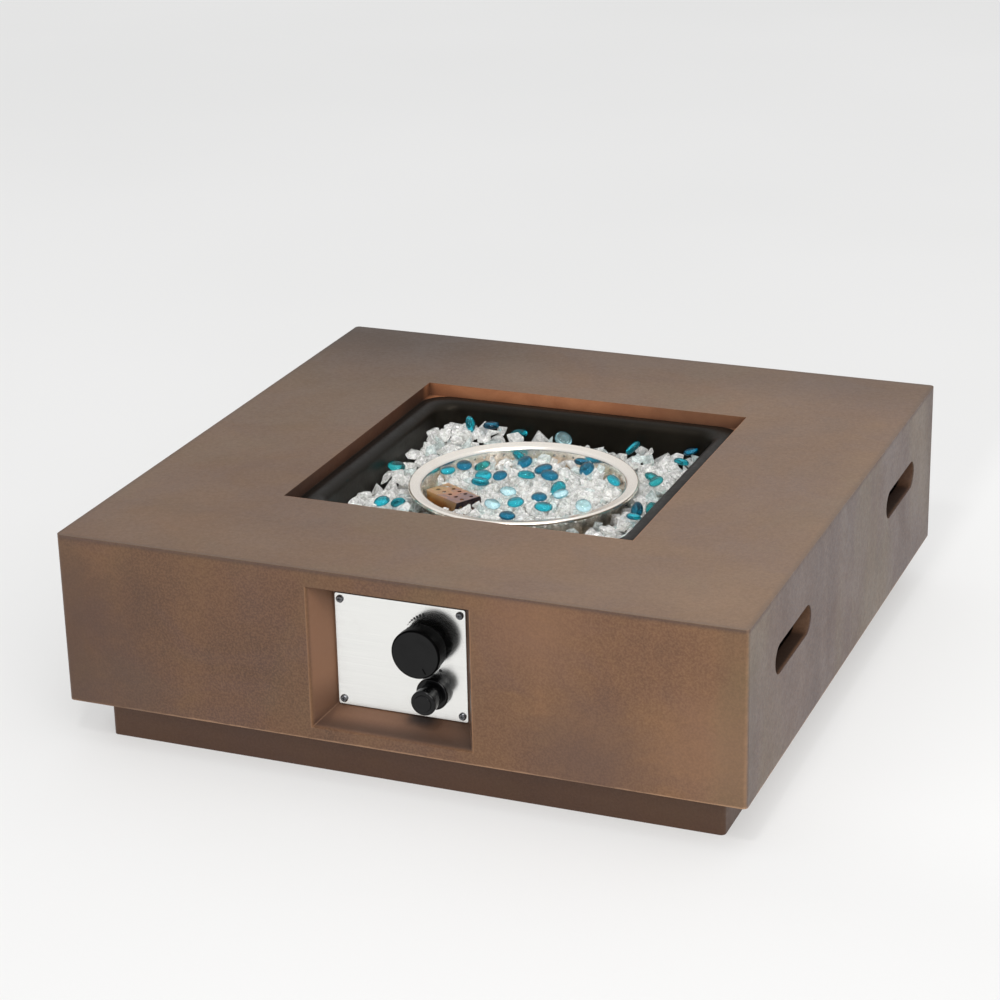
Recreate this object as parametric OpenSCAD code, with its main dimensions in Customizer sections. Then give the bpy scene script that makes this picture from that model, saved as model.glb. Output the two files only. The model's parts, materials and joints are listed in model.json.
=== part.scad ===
// Square concrete fire pit table with a gas burner, control panel and igniter.
// Millimetres. +Z up, front (control panel) towards -Y, origin on the floor
// under the centre of the table.

/* [Concrete table] */
// Side length of the square table
table_w = 711; // [700:1:724]
// Height from the floor to the table top
table_h = 227; // [224:1:232]
// Height of the set-back plinth
plinth_h = 47.5; // [44:0.5:49]
// Distance that the plinth is set back from the table's side
plinth_inset = 30; // [28:1:34]
// Thickness of the plinth's wall
plinth_t = 18; // [16:1:20]
// Thickness of the body's side walls
wall_t = 16; // [15:1:17]
// Thickness of the top slab
slab_t = 18; // [16:1:20]
// Radius of the upright corners
corner_r = 5; // [2:1:8]

/* [Fire opening] */
// Side length of the square opening
opening_w = 375; // [374:1:382]
// Height of concrete seen above the pan's rim
opening_d = 13; // [11:1:15]
// Width of the ledge that carries the pan
ledge_w = 16.5; // [15:0.5:17]
// Thickness of the ledge
ledge_t = 24.5; // [22:0.5:28]

/* [Finger slots] */
// Length of a slot, end to end
slot_l = 122; // [110:1:130]
// Height of a slot
slot_h = 31; // [26:1:34]
// Distance of a slot from the table's centre line
slot_y = 208; // [190:1:220]
// Height of the slots above the floor
slot_z = 156; // [150:1:162]

/* [Control recess] */
// Width of the recess on the front face
recess_w = 169; // [166:1:176]
// Lower edge of the recess above the floor
recess_z0 = 60; // [58:0.5:62]
// Upper edge of the recess above the floor
recess_z1 = 208.5; // [207:0.5:210]
// Depth of the recess
recess_d = 31.5; // [30:0.5:33]
// How far each side of the recess slopes inwards
recess_in = 14.75; // [13:0.25:15]
// Thickness of the control plate
plate_t = 1.5; // [1:0.1:1.5]
// Width of the control plate
plate_w = 136; // [134:0.5:138]
// Height of the control plate
plate_h = 117.5; // [115:0.5:118.5]

/* [Burner] */
// Outer radius of the bowl's flared lip, before its rolled edge
lip_r = 119; // [118:0.2:119]
// Height of the pan's floor above the table's floor
pan_z = 130; // [130:0.5:131]
// Sheet thickness of the pan
pan_t = 1.5; // [1.2:0.1:1.5]
// Radius of the pan's upright corners
pan_r = 26; // [20:1:30]
// Radius of the rim's outer corners
rim_r = 28; // [10:1:32]
// Sheet thickness of the bowl
bowl_t = 1.2; // [0.8:0.1:1.2]
// Number of small holes around the bowl
bowl_holes = 60; // [36:12:84]
// Radius of the small holes in the bowl
bowl_hole_r = 1.5; // [1:0.1:1.8]
// Radius of the ring burner to the middle of its tube
ring_r = 40; // [34:1:40]
// Radius of the burner tube
ring_tube_r = 8; // [7:0.5:8]
// Number of gas ports in the ring
ring_ports = 24; // [12:4:28]
// Height of the broken glass around the bowl
glass_outer_z = 190; // [184:1:191]
// Height of the glass in the bowl
glass_inner_z = 185; // [178:1:185]

/* [Pilot hood] */
// Length of the hood
hood_l = 54; // [50:1:56]
// Height of the hood's top
hood_z = 191.5; // [188:0.5:193]
// Radius of the holes in the hood
hood_hole_r = 2.2; // [1.6:0.1:2.6]

/* [Knob and valve] */
// Knob position across the table
knob_x = 27; // [27:0.5:28]
// Knob height above the floor
knob_z = 152.5; // [152:0.5:154]
// Knob radius
knob_r = 25; // [23.5:0.1:25]
// Number of finger grooves around the knob
knob_flutes = 36; // [24:4:40]
// Inward travel of the knob
knob_push = 6; // [4:0.5:6]
// Spindle radius
spindle_r = 4; // [3.5:0.1:4]
// Radius of the gas tube
tube_r = 4.75; // [4:0.05:4.75]
// Radius of the inlet's flare thread
inlet_r = 7.94; // [7:0.02:8]

/* [Igniter] */
// Igniter position across the table
ign_x = 34; // [34:0.5:36]
// Igniter height above the floor
ign_z = 103.5; // [103:0.5:104]
// Radius of the igniter's screw cap
cap_r = 12.8; // [11.8:0.1:12.8]
// Radius of the igniter's lock ring
lock_r = 16.5; // [15:0.1:16.5]
// Radius of the push button
button_r = 8.5; // [7.5:0.1:8.5]

/* [Hose gland] */
// Position of the gland across the plinth's rear wall
gland_x = -120; // [-160:1:-80]
// Radius of the hose's way through
gland_r = 8; // [7:0.1:8]

/* [Hidden] */
$fn = 96;
e = 0.01;
hw = table_w / 2;
step_z = plinth_h + 14;                 // top of the plinth's flange
step_w = 8;                             // width of the rebate in the body's walls
in_w = hw - wall_t;                     // inner face of a side wall
pl_o = hw - plinth_inset;               // plinth's outer face
pl_i = pl_o - plinth_t;                 // plinth's inner face
rim_z = table_h - opening_d;            // top of the pan's rim
ledge_z = rim_z - pan_t;                // top of the ledge
op = opening_w / 2;
led = op - ledge_w;
back_y = -hw + recess_d;                // floor of the recess
face_y = back_y - plate_t;              // front of the control plate
boss_y = back_y + 16;                   // back of the recess's boss
pz = 134.25;                            // middle of the control plate
K = [knob_x, knob_z];
G = [ign_x, ign_z];
screw_x = plate_w / 2 - 5.5;
screw_z = plate_h / 2 - 6;
pan_w = 327;
bowl_z = pan_z + pan_t;                 // underside of the bowl
fl_z = bowl_z + bowl_t;                 // floor of the bowl, inside
pc = [-64.7, -42.7];                    // middle of the pilot
pa = -29;                               // direction of the pilot
valve_y = -290;                         // plane of the valve's ports
tube_z = 73;                            // level of the gas tube under the pan
port_x = 96;                            // where the gas tube goes down
tube_len = norm([port_x, valve_y]);
tube_a = atan2(-valve_y, -port_x);      // direction of the tube's long run

// Which sub-part to draw

// ---------- helpers ----------

// square outline with rounded corners
module outline(w, d, r) {
  square([w - 2 * r, d], center = true);
  square([w, d - 2 * r], center = true);
  for (i = [-1, 1], j = [-1, 1])
    translate([i * (w / 2 - r), j * (d / 2 - r)]) circle(r);
}

module slab(w, d, r, z0, z1) {
  translate([0, 0, z0]) linear_extrude(z1 - z0) outline(w, d, r);
}

module block(x0, x1, y0, y1, z0, z1) {
  translate([x0, y0, z0]) cube([x1 - x0, y1 - y0, z1 - z0]);
}

// round bars along each axis
module zbar(p, z0, z1, r) { translate([p[0], p[1], z0]) cylinder(h = z1 - z0, r = r); }
module ybar(c, y0, y1, r) { translate([c[0], y0, c[1]]) rotate([-90, 0, 0]) cylinder(h = y1 - y0, r = r); }
module xbar(c, x0, x1, r) { translate([x0, c[0], c[1]]) rotate([0, 90, 0]) cylinder(h = x1 - x0, r = r); }
module yhex(c, y0, y1, r) { translate([c[0], y0, c[1]]) rotate([-90, 0, 0]) cylinder(h = y1 - y0, r = r, $fn = 6); }
module xhex(c, x0, x1, r) { translate([x0, c[0], c[1]]) rotate([0, 90, 0]) cylinder(h = x1 - x0, r = r, $fn = 6); }

// turned profile of [radius, y] points about an axis along Y
module yturn(c, pts) { translate([c[0], 0, c[1]]) rotate([-90, 0, 0]) rotate_extrude() polygon(pts); }

// screw: head above z = 0, shank below
module screw(hr, hh, sr, sl, cross = false) {
  difference() {
    union() {
      rotate_extrude() polygon([[0, 0], [hr, 0], [hr, hh * 0.45], [hr * 0.72, hh], [0, hh]]);
      translate([0, 0, -sl]) cylinder(h = sl + e, r = sr);
    }
    if (cross) for (a = [0, 90]) rotate([0, 0, a])
      translate([-hr * 0.5, -hr * 0.11, hh * 0.4]) cube([hr, hr * 0.22, hh]);
  }
}

// smooth curve through points
function cm(a, b, c, d, t) = 0.5 * (2 * b + (c - a) * t + (2 * a - 5 * b + 4 * c - d) * t * t + (3 * b - a - 3 * c + d) * t * t * t);
function smooth(P, k) = concat([for (i = [0 : len(P) - 2], j = [0 : k - 1])
  cm(P[max(i - 1, 0)], P[i], P[i + 1], P[min(i + 2, len(P) - 1)], j / k)], [P[len(P) - 1]]);
function unit(v) = v / norm(v);
function tangents(P) = [for (i = [0 : len(P) - 1]) unit(P[min(i + 1, len(P) - 1)] - P[max(i - 1, 0)])];
function side(t) = unit(abs(t[2]) < 0.8 ? cross(t, [0, 0, 1]) : cross(t, [1, 0, 0]));
function carry(T, i = 0, n = [0, 0, 0], acc = []) = i == len(T) ? acc :
  let (m = i == 0 ? side(T[0]) : unit(n - (n * T[i]) * T[i])) carry(T, i + 1, m, concat(acc, [m]));

// round rod along a list of points
module rod(P, r, n = 10) {
  T = tangents(P);
  N = carry(T);
  m = len(P);
  pts = [for (i = [0 : m - 1], j = [0 : n - 1])
    P[i] + r * (cos(360 * j / n) * N[i] + sin(360 * j / n) * cross(T[i], N[i]))];
  sides = [for (i = [0 : m - 2], j = [0 : n - 1])
    let (a = i * n + j, b = i * n + (j + 1) % n) [a, a + n, b + n, b]];
  polyhedron(pts, concat(sides, [[for (j = [0 : n - 1]) j]],
    [[for (j = [n - 1 : -1 : 0]) (m - 1) * n + j]]));
}

// coil of wire about an axis along Y
module coil(c, y0, y1, cr, wr, turns) {
  k = 18 * turns;
  rod([for (i = [0 : k]) [c[0] + cr * cos(360 * turns * i / k), y0 + wr + (y1 - y0 - 2 * wr) * i / k, c[1] + cr * sin(360 * turns * i / k)]], wr, 8);
}

// the four sides of the table, with two places on each
module around() { for (a = [0 : 90 : 270], t = [-220, 220]) rotate([0, 0, a]) translate([0, t, 0]) children(); }

// the pilot's own frame: x along the hood
module pilot() { translate([pc[0], pc[1], 0]) rotate([0, 0, pa]) children(); }
function at_pilot(u, v) = [pc[0] + u * cos(pa) - v * sin(pa), pc[1] + u * sin(pa) + v * cos(pa)];

// ---------- concrete ----------

module table_shell() color([0.45, 0.36, 0.30]) difference() {
  union() {
    difference() {
      slab(table_w, table_w, corner_r, plinth_h, table_h);
      block(-in_w, in_w, -in_w, in_w, plinth_h - 1, table_h - slab_t);
    }
    // thick edge under the opening, and the boss behind the recess
    block(-op - 18, op + 18, -op - 18, op + 18, ledge_z - ledge_t, table_h - slab_t + 1);
    block(-100.5, 100.5, -in_w - 1, boss_y, step_z, table_h - slab_t + 1);
  }
  // opening and pan ledge
  block(-op, op, -op, op, ledge_z, table_h + 1);
  block(-led, led, -led, led, ledge_z - ledge_t - 1, ledge_z + 1);
  // rebate for the plinth's flange
  block(-hw + step_w, hw - step_w, -hw + step_w, hw - step_w, plinth_h - 1, step_z);
  // tapered control recess
  intersection() {
    translate([0, 0, recess_z0 - 5]) linear_extrude(recess_z1 - recess_z0 + 10)
      polygon([[-recess_w / 2 - recess_in / recess_d, -hw - 1], [recess_w / 2 + recess_in / recess_d, -hw - 1],
        [recess_w / 2 - recess_in, back_y], [-recess_w / 2 + recess_in, back_y]]);
    translate([-recess_w, 0, 0]) rotate([90, 0, 90]) linear_extrude(2 * recess_w)
      polygon([[-hw - 1, recess_z0 - recess_in / recess_d], [-hw - 1, recess_z1 + recess_in / recess_d],
        [back_y, recess_z1 - recess_in], [back_y, recess_z0 + recess_in]]);
  }
  // way through behind the control plate, and its anchor holes
  block(-50, 54, back_y - 1, boss_y + 1, 88, 180);
  for (i = [-1, 1], j = [-1, 1]) ybar([i * screw_x, pz + j * screw_z], back_y - 1, back_y + 13.5, 4.05);
  // finger slots
  for (i = [-1, 1], j = [-1, 1]) {
    block(i * hw - 25, i * hw + 25, j * slot_y - slot_l / 2 + slot_h / 2, j * slot_y + slot_l / 2 - slot_h / 2, slot_z - slot_h / 2, slot_z + slot_h / 2);
    for (k = [-1, 1]) xbar([j * slot_y + k * (slot_l - slot_h) / 2, slot_z], i * hw - 25, i * hw + 25, slot_h / 2);
  }
  // bracket screw holes
  around() xbar([0, step_z + 18], in_w - 1, in_w + 11, 2.6);
}

module plinth() color([0.42, 0.33, 0.28]) difference() {
  union() {
    slab(2 * pl_o, 2 * pl_o, corner_r, 0, plinth_h);
    slab(2 * (hw - step_w - 1), 2 * (hw - step_w - 1), corner_r, plinth_h, step_z);
  }
  block(-pl_i, pl_i, -pl_i, pl_i, -1, step_z + 1);
  ybar([gland_x, plinth_h / 2], pl_i - 1, pl_o + 1, gland_r + 3);
  around() zbar([in_w - 17.5, 0], step_z - 11.5, step_z + 1, 2.6);
}

module base_brackets() color([0.7, 0.7, 0.72]) around() difference() {
  union() {
    block(in_w - 2.5, in_w, -12, 12, step_z, step_z + 28);
    block(in_w - 26, in_w - 2, -12, 12, step_z, step_z + 2.5);
  }
  xbar([0, step_z + 18], in_w - 4, in_w + 1, 2.8);
  zbar([in_w - 17.5, 0], step_z - 1, step_z + 4, 2.8);
}

module base_bracket_screws() color([0.6, 0.6, 0.62]) around() {
  translate([in_w - 2.5, 0, step_z + 18]) rotate([0, -90, 0]) screw(4.6, 3, 2.4, 13);
  translate([in_w - 17.5, 0, step_z + 2.5]) screw(4.6, 3, 2.4, 13);
}

module hose_grommet() color([0.05, 0.05, 0.05])
  yturn([gland_x, plinth_h / 2], [[gland_r, pl_i - 2.5], [gland_r + 6.5, pl_i - 2.5], [gland_r + 6.5, pl_i],
    [gland_r + 2.95, pl_i], [gland_r + 2.95, pl_o], [gland_r + 6.5, pl_o], [gland_r + 6.5, pl_o + 2.5], [gland_r, pl_o + 2.5]]);

// ---------- burner ----------

module burner_pan() color([0.08, 0.08, 0.09]) difference() {
  union() {
    slab(pan_w, pan_w, pan_r, pan_z, rim_z);
    slab(opening_w - 3, opening_w - 3, rim_r, ledge_z, rim_z);
  }
  slab(pan_w - 2 * pan_t, pan_w - 2 * pan_t, pan_r - pan_t, pan_z + pan_t, rim_z + 1);
  zbar([0, 0], pan_z - 1, pan_z + 3, 10.4);
  for (x = [-130, 0, 130], y = [-130, 0, 130]) if (x != 0 || y != 0) zbar([x, y], pan_z - 1, pan_z + 3, 4);
  floor_holes(pan_z - 1, pan_z + 3);
}

// ways through the pan's and bowl's floors for the pilot
module floor_holes(z0, z1) {
  for (u = [-6, 6]) zbar(at_pilot(u, 0), z0, z1, 4.5);
  for (u = [-15, 15]) zbar(at_pilot(u, 0), z0, z1, 2.05);
}

// bowl wall as [radius, height, direction] along the middle of the sheet
wall_a = 82.67;
bowl_top = fl_z + 60.3;
function bend(c, r, a0, a1, n) = [for (i = [0 : n]) let (a = a0 + (a1 - a0) * i / n)
  [c[0] + (a1 > a0 ? 1 : -1) * r * sin(a), c[1] - (a1 > a0 ? 1 : -1) * r * cos(a), a]];
mid = fl_z - bowl_t / 2;
wall_len = (bowl_top - mid - 4 + 4 * cos(wall_a)) / sin(wall_a);
wall_b = [96.53 + 4 * sin(wall_a), mid + 4 - 4 * cos(wall_a)];
wall_e = wall_b + wall_len * [cos(wall_a), sin(wall_a)];
lip_c = wall_e + 4 * [sin(wall_a), -cos(wall_a)];
lip_s = lip_c + 4 * [-sin(10), cos(10)];
lip_e = lip_s + (lip_r - lip_s[0]) / cos(10) * [cos(10), sin(10)];
roll_c = lip_e + 1.8 * [sin(10), -cos(10)];
roll_e = roll_c + 1.8 * [sin(80), cos(80)];
bowl_path = concat([[10.4, mid, 0]], bend([96.53, mid + 4], 4, 0, wall_a, 6),
  bend(lip_c, 4, wall_a, 10, 8), bend(roll_c, 1.8, 10, -80, 8), [[roll_e[0] + 0.26, roll_e[1] - 1.5, -80]]);

module burner_bowl() color([0.75, 0.75, 0.76]) difference() {
  rotate_extrude() polygon(concat(
    [for (p = bowl_path) [p[0] + bowl_t / 2 * sin(p[2]), p[1] - bowl_t / 2 * cos(p[2])]],
    [for (i = [len(bowl_path) - 1 : -1 : 0]) let (p = bowl_path[i]) [p[0] - bowl_t / 2 * sin(p[2]), p[1] + bowl_t / 2 * cos(p[2])]]));
  for (i = [0 : bowl_holes - 1]) rotate([0, 0, 360 * (i + 0.5) / bowl_holes])
    xbar([0, bowl_top - 4.5], 101, 113, bowl_hole_r);
  floor_holes(bowl_z - 1, fl_z + 1);
}

module burner_ring() color([0.7, 0.7, 0.7]) difference() {
  union() {
    translate([0, 0, fl_z + 17]) rotate_extrude() translate([ring_r, 0]) circle(ring_tube_r);
    for (a = [0 : 90 : 270]) rotate([0, 0, a]) xbar([0, fl_z + 17], 6, ring_r - 3, 5.5);
    zbar([0, 0], fl_z, fl_z + 27, 14);
    zbar([0, 0], pan_z - 26, fl_z + 1, 10.2);
  }
  translate([0, 0, fl_z + 17]) rotate_extrude() translate([ring_r, 0]) circle(ring_tube_r - 1.5);
  for (a = [0 : 90 : 270]) rotate([0, 0, a]) xbar([0, fl_z + 17], 4, ring_r - 2, 4);
  zbar([0, 0], pan_z - 27, fl_z + 24, 8);
  for (i = [0 : ring_ports - 1]) rotate([0, 0, 360 * (i + 0.5) / ring_ports]) zbar([ring_r, 0], fl_z + 17, fl_z + 30, 1);
}

module burner_lock_nut() color([0.75, 0.75, 0.75]) difference() {
  translate([0, 0, pan_z - 9]) cylinder(h = 9, r = 17.3, $fn = 6);
  zbar([0, 0], pan_z - 10, pan_z + 1, 10.25);
}

module air_mixer() color([0.72, 0.72, 0.74]) difference() {
  zbar([0, 0], pan_z - 46, pan_z - 12, 14.5);
  zbar([0, 0], pan_z - 26, pan_z - 11, 10.25);
  zbar([0, 0], pan_z - 42, pan_z - 25, 8.5);
  zbar([0, 0], pan_z - 47, pan_z - 41, 4.05);
  for (a = [45, 135]) rotate([0, 0, a]) block(-20, 20, -4, 4, pan_z - 39, pan_z - 29);
}

module gas_jet() color([0.8, 0.62, 0.25]) difference() {
  union() {
    translate([0, 0, pan_z - 50]) cylinder(h = 4, r = 6.4, $fn = 6);
    zbar([0, 0], pan_z - 46 - e, pan_z - 40, 4);
    translate([0, 0, pan_z - 40 - e]) cylinder(h = 3, r1 = 3.4, r2 = 1.8);
    zbar([0, 0], tube_z + 1.5, pan_z - 50 + e, 3.3);
  }
  zbar([0, 0], tube_z, pan_z - 30, 0.6);
}

module jet_elbow() color([0.8, 0.62, 0.25]) difference() {
  union() {
    zbar([0, 0], tube_z - 8, pan_z - 50, 8.5);
    rotate([0, 0, tube_a + 180]) xbar([0, tube_z], 0, 22, 6.8);
  }
  zbar([0, 0], tube_z, pan_z - 49, 3.55);
  rotate([0, 0, tube_a + 180]) { xbar([0, tube_z], 0, 23, 3); xbar([0, tube_z], 14, 23, tube_r + 0.06); }
}

module elbow_tube_nut() color([0.8, 0.62, 0.25]) rotate([0, 0, tube_a + 180]) difference() {
  xhex([0, tube_z], 22, 33, 9.2);
  xbar([0, tube_z], 21, 34, tube_r + 0.15);
}

module gas_supply_tube() color([0.75, 0.76, 0.78])
  rod(concat([[50.2, valve_y, knob_z], [60, valve_y, knob_z]],
    [for (a = [0 : 9 : 90]) [port_x - 20 + 20 * sin(a), valve_y, knob_z - 20 + 20 * cos(a)]],
    [for (a = [0 : 9 : 90]) let (s = 20 - 20 * cos(a)) [port_x + s * cos(tube_a), valve_y + s * sin(tube_a), tube_z + 20 - 20 * sin(a)]],
    [for (s = [tube_len / 2, tube_len - 14.2]) [port_x + s * cos(tube_a), valve_y + s * sin(tube_a), tube_z]]), tube_r, 20);

module valve_tube_nut() color([0.8, 0.62, 0.25]) difference() {
  xhex([valve_y, knob_z], knob_x + 29, knob_x + 41, 9.2);
  xbar([valve_y, knob_z], knob_x + 28, knob_x + 42, tube_r + 0.15);
}

// ---------- valve ----------

module valve_body() color([0.72, 0.73, 0.74]) difference() {
  union() {
    block(knob_x - 17, knob_x + 17, back_y + 8, valve_y + 20, knob_z - 17, knob_z + 17);
    xbar([valve_y, knob_z], knob_x + 16, knob_x + 29, 8);
    xbar([valve_y, knob_z], knob_x - 29, knob_x - 16, 9);
  }
  ybar(K, back_y, valve_y + 6, 9.05);
  xbar([valve_y, knob_z], knob_x - 30, knob_x + 30, 3.5);
  xbar([valve_y, knob_z], knob_x + 23, knob_x + 30, tube_r + 0.06);
  xbar([valve_y, knob_z], knob_x - 30, knob_x - 19, 6.05);
  ybar(K, valve_y, valve_y + 21, 3);
  ybar(K, valve_y + 14, valve_y + 21, 7.05);
  for (i = [-1, 1], j = [-1, 1]) ybar(K + [13.5 * i, 13.5 * j], back_y, back_y + 17, 1.55);
}

module valve_bonnet() color([0.7, 0.7, 0.72]) difference() {
  union() {
    block(knob_x - 17, knob_x + 17, back_y + 4, back_y + 8, knob_z - 17, knob_z + 17);
    ybar(K, back_y - 11, back_y + 5, 8.5);
  }
  ybar(K, back_y - 12, back_y, spindle_r + 0.06);
  ybar(K, back_y - 7, back_y + 9, 6.6);
  for (i = [-1, 1], j = [-1, 1]) ybar(K + [13.5 * i, 13.5 * j], back_y, back_y + 9, 1.7);
}

module bonnet_screws() color([0.6, 0.6, 0.6]) for (i = [-1, 1], j = [-1, 1])
  translate([knob_x + 13.5 * i, back_y + 4, knob_z + 13.5 * j]) rotate([90, 0, 0]) screw(2.8, 2, 1.5, 12);

module valve_panel_nut() color([0.75, 0.75, 0.76]) difference() {
  yhex(K, face_y - 5, face_y, 13);
  ybar(K, face_y - 6, face_y + 1, 8.55);
}

// round bar with one flat
module dbar(y0, y1, r, flat) intersection() {
  ybar(K, y0, y1, r);
  block(knob_x - 2 * r, knob_x + 2 * r, y0 - 1, y1 + 1, knob_z - 2 * r, knob_z + flat);
}

module valve_plug() color([0.8, 0.62, 0.25]) difference() {
  ybar(K, back_y + 11, valve_y + 5, 9);
  dbar(back_y + 10, valve_y + 6, spindle_r + 0.1, 3.1);
  xbar([valve_y, knob_z], knob_x - 12, knob_x - 2, 3);
}

module valve_spindle() color([0.75, 0.75, 0.76]) {
  dbar(face_y - 24.9, back_y + 32, spindle_r, 3);
  ybar(K, back_y - 7, back_y - 5.6, 5.5);
  ybar(K, back_y + 31, back_y + 41, 2);
}

module spindle_washer() color([0.7, 0.7, 0.7]) difference() {
  ybar(K, back_y - 5.6, back_y - 4.4, 6.4);
  ybar(K, back_y - 6, back_y - 4, spindle_r + 0.1);
}

module spindle_spring() color([0.65, 0.65, 0.66]) coil(K, back_y - 4.35, back_y + 10.9, 5.3, 0.5, 5);

module safety_magnet() color([0.72, 0.7, 0.6]) difference() {
  union() {
    ybar(K, valve_y + 14, valve_y + 21, 7);
    yhex(K, valve_y + 20, valve_y + 28, 10);
    ybar(K, valve_y + 27, valve_y + 42, 8);
    ybar(K, valve_y + 41, valve_y + 46, 6);
  }
  ybar(K, valve_y + 38, valve_y + 47, 2);
}

module gas_inlet_fitting() color([0.8, 0.62, 0.25]) difference() {
  union() {
    xbar([valve_y, knob_z], knob_x - 29 - e, knob_x - 19.2, 6);
    xhex([valve_y, knob_z], knob_x - 37, knob_x - 29, 10.5);
    xbar([valve_y, knob_z], knob_x - 51, knob_x - 37 + e, inlet_r);
    translate([knob_x - 51 + e, valve_y, knob_z]) rotate([0, -90, 0]) cylinder(h = 4, r1 = 6.8, r2 = 4);
  }
  xbar([valve_y, knob_z], knob_x - 56, knob_x - 19, 2.8);
}

// ---------- pilot ----------

module thermocouple_nut() color([0.8, 0.62, 0.25]) difference() {
  yhex(K, valve_y + 46, valve_y + 54, 6);
  ybar(K, valve_y + 45, valve_y + 55, 1.75);
}

tp = at_pilot(-6, 0);
ep = at_pilot(6, 0);

module thermocouple_lead() color([0.72, 0.45, 0.3])
  rod(smooth([[knob_x, valve_y + 44, knob_z], [knob_x, valve_y + 56, knob_z], [knob_x, -222, knob_z - 1], [24, -206, 146], [16, -194, 135],
    [4, -179, 126], [-8, -160, 124], [-30, -122, 124], [-52, -84, 124], [-65, -57, 124], [tp[0], tp[1] - 3, 129],
    [tp[0], tp[1], 137], [tp[0], tp[1], 150]], 5), 1.5, 8);

module ignition_lead() color([0.5, 0.1, 0.08])
  rod(smooth([[ign_x, valve_y + 25, ign_z], [ign_x, valve_y + 40, ign_z], [34, -230, 104], [30, -205, 111], [22, -184, 119],
    [12, -168, 123.5], [0.7, -155, 124], [-21.3, -117, 124], [-37, -90, 123], [-48, -68, 115], [-56, -53, 104],
    [ep[0], ep[1], 106], [ep[0], ep[1], 113], [ep[0], ep[1], 117.5]], 5), 1.75, 8);

module lead_clips() color([0.7, 0.7, 0.72]) for (s = [30, 65])
  translate([-3.67 - 0.501 * s, -157.5 + 0.866 * s, 0]) rotate([0, 0, 30]) difference() {
    union() {
      block(-10, 10, -4, 4, pan_z - 9, pan_z);
      block(-17, 17, -4, 4, pan_z - 1.2, pan_z);
    }
    block(-9, 9, -5, 5, pan_z - 8, pan_z + 1);
  }

module pilot_bracket() color([0.68, 0.68, 0.7]) pilot() difference() {
  union() {
    block(-18.5, 20, -6, 6, fl_z, fl_z + 1.5);
    block(-1, 10, -17.15, 17.15, fl_z, fl_z + 1.5);
    for (j = [-1, 1]) block(-1, 10, j * 16.4 - 0.75, j * 16.4 + 0.75, fl_z, fl_z + 45);
    block(-11, 11, -17.15, 17.15, fl_z + 27.3, fl_z + 28.8);
  }
  for (u = [-6, 6]) translate([u, 0, fl_z - 1]) cylinder(h = 4, r = 4.5);
  for (u = [-15, 15]) translate([u, 0, fl_z - 1]) cylinder(h = 4, r = 2.05);
  translate([6, 0, fl_z + 26]) cylinder(h = 4, r = 3.1);
  translate([-6, 0, fl_z + 26]) cylinder(h = 4, r = 2.6);
  translate([4.5, 20, fl_z + 41]) rotate([90, 0, 0]) cylinder(h = 40, r = 1.6);
}

module pilot_rivets() color([0.75, 0.75, 0.76]) pilot() for (u = [-15, 15]) translate([u, 0, 0]) {
  translate([0, 0, pan_z - 1.6]) cylinder(h = 1.6, r = 3.5);
  translate([0, 0, pan_z - 1]) cylinder(h = fl_z + 3 - pan_z, r = 2);
  translate([0, 0, fl_z + 1.5]) cylinder(h = 1.6, r = 3.5);
}

module pilot_hood() color([0.6, 0.5, 0.35]) intersection() {
  pilot() difference() {
    rotate([90, 0, 90]) translate([0, 0, -hood_l / 2]) linear_extrude(hood_l)
      polygon([[-18, 168], [-18, hood_z - 9], [-14, hood_z], [16.8, hood_z], [18, hood_z - 1.2], [18, 168]]);
    rotate([90, 0, 90]) translate([0, 0, -hood_l / 2 - 1]) linear_extrude(hood_l + 0.2)
      polygon([[-17.2, 167], [-17.2, hood_z - 9.2], [-13.5, hood_z - 0.8], [16.6, hood_z - 0.8], [17.2, hood_z - 1.4], [17.2, 167]]);
    for (i = [-2 : 2], j = [-1, 1]) translate([1 + i * 10, 3.5 + j * 6.3, hood_z - 3]) cylinder(h = 5, r = hood_hole_r);
    for (v = [-9.5, 1, 11.5]) translate([0, v, 185]) rotate([0, 90, 0]) cylinder(h = hood_l, r = hood_hole_r);
    translate([0, 1, 170]) rotate([0, 90, 0]) cylinder(h = hood_l, r = 8);
    translate([4.5, 30, fl_z + 41]) rotate([90, 0, 0]) cylinder(h = 60, r = 1.7);
  }
  zbar([0, 0], 160, 200, 102.4);
}

module hood_screws() color([0.6, 0.6, 0.6]) pilot() {
  translate([4.5, 18, fl_z + 41]) rotate([-90, 0, 0]) screw(2.8, 2, 1.5, 5);
  translate([4.5, -18, fl_z + 41]) rotate([90, 0, 0]) screw(2.8, 2, 1.5, 5);
}

module thermocouple_probe() color([0.6, 0.58, 0.55]) {
  zbar(tp, 150, 183, 2.5);
  zbar(tp, fl_z + 28.8, fl_z + 31.3, 4);
  translate([tp[0], tp[1], 183 - e]) cylinder(h = 3, r1 = 2.5, r2 = 1.5);
}

module spark_electrode() color([0.92, 0.9, 0.86]) difference() {
  union() {
    zbar(ep, 122, 180, 3);
    zbar(ep, fl_z + 28.8, fl_z + 31.8, 4.6);
  }
  zbar(ep, 121, 181, 1.25);
}

module electrode_rod() color([0.6, 0.6, 0.6]) zbar(ep, 117.6, 186.5, 1.2);

// ---------- control panel ----------

module control_plate() color([0.78, 0.78, 0.78]) difference() {
  translate([0, face_y, pz]) rotate([-90, 0, 0]) linear_extrude(plate_t) outline(plate_w, plate_h, 2);
  ybar(K, face_y - 1, back_y + 1, 8.7);
  ybar(G, face_y - 1, back_y + 1, 11.8);
  for (i = [-1, 1], j = [-1, 1]) ybar([i * screw_x, pz + j * screw_z], face_y - 1, back_y + 1, 2.3);
}

module plate_screws() color([0.15, 0.15, 0.15]) for (i = [-1, 1], j = [-1, 1])
  translate([i * screw_x, face_y, pz + j * screw_z]) rotate([90, 0, 0]) screw(3.9, 2.2, 2.05, 13, true);

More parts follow.
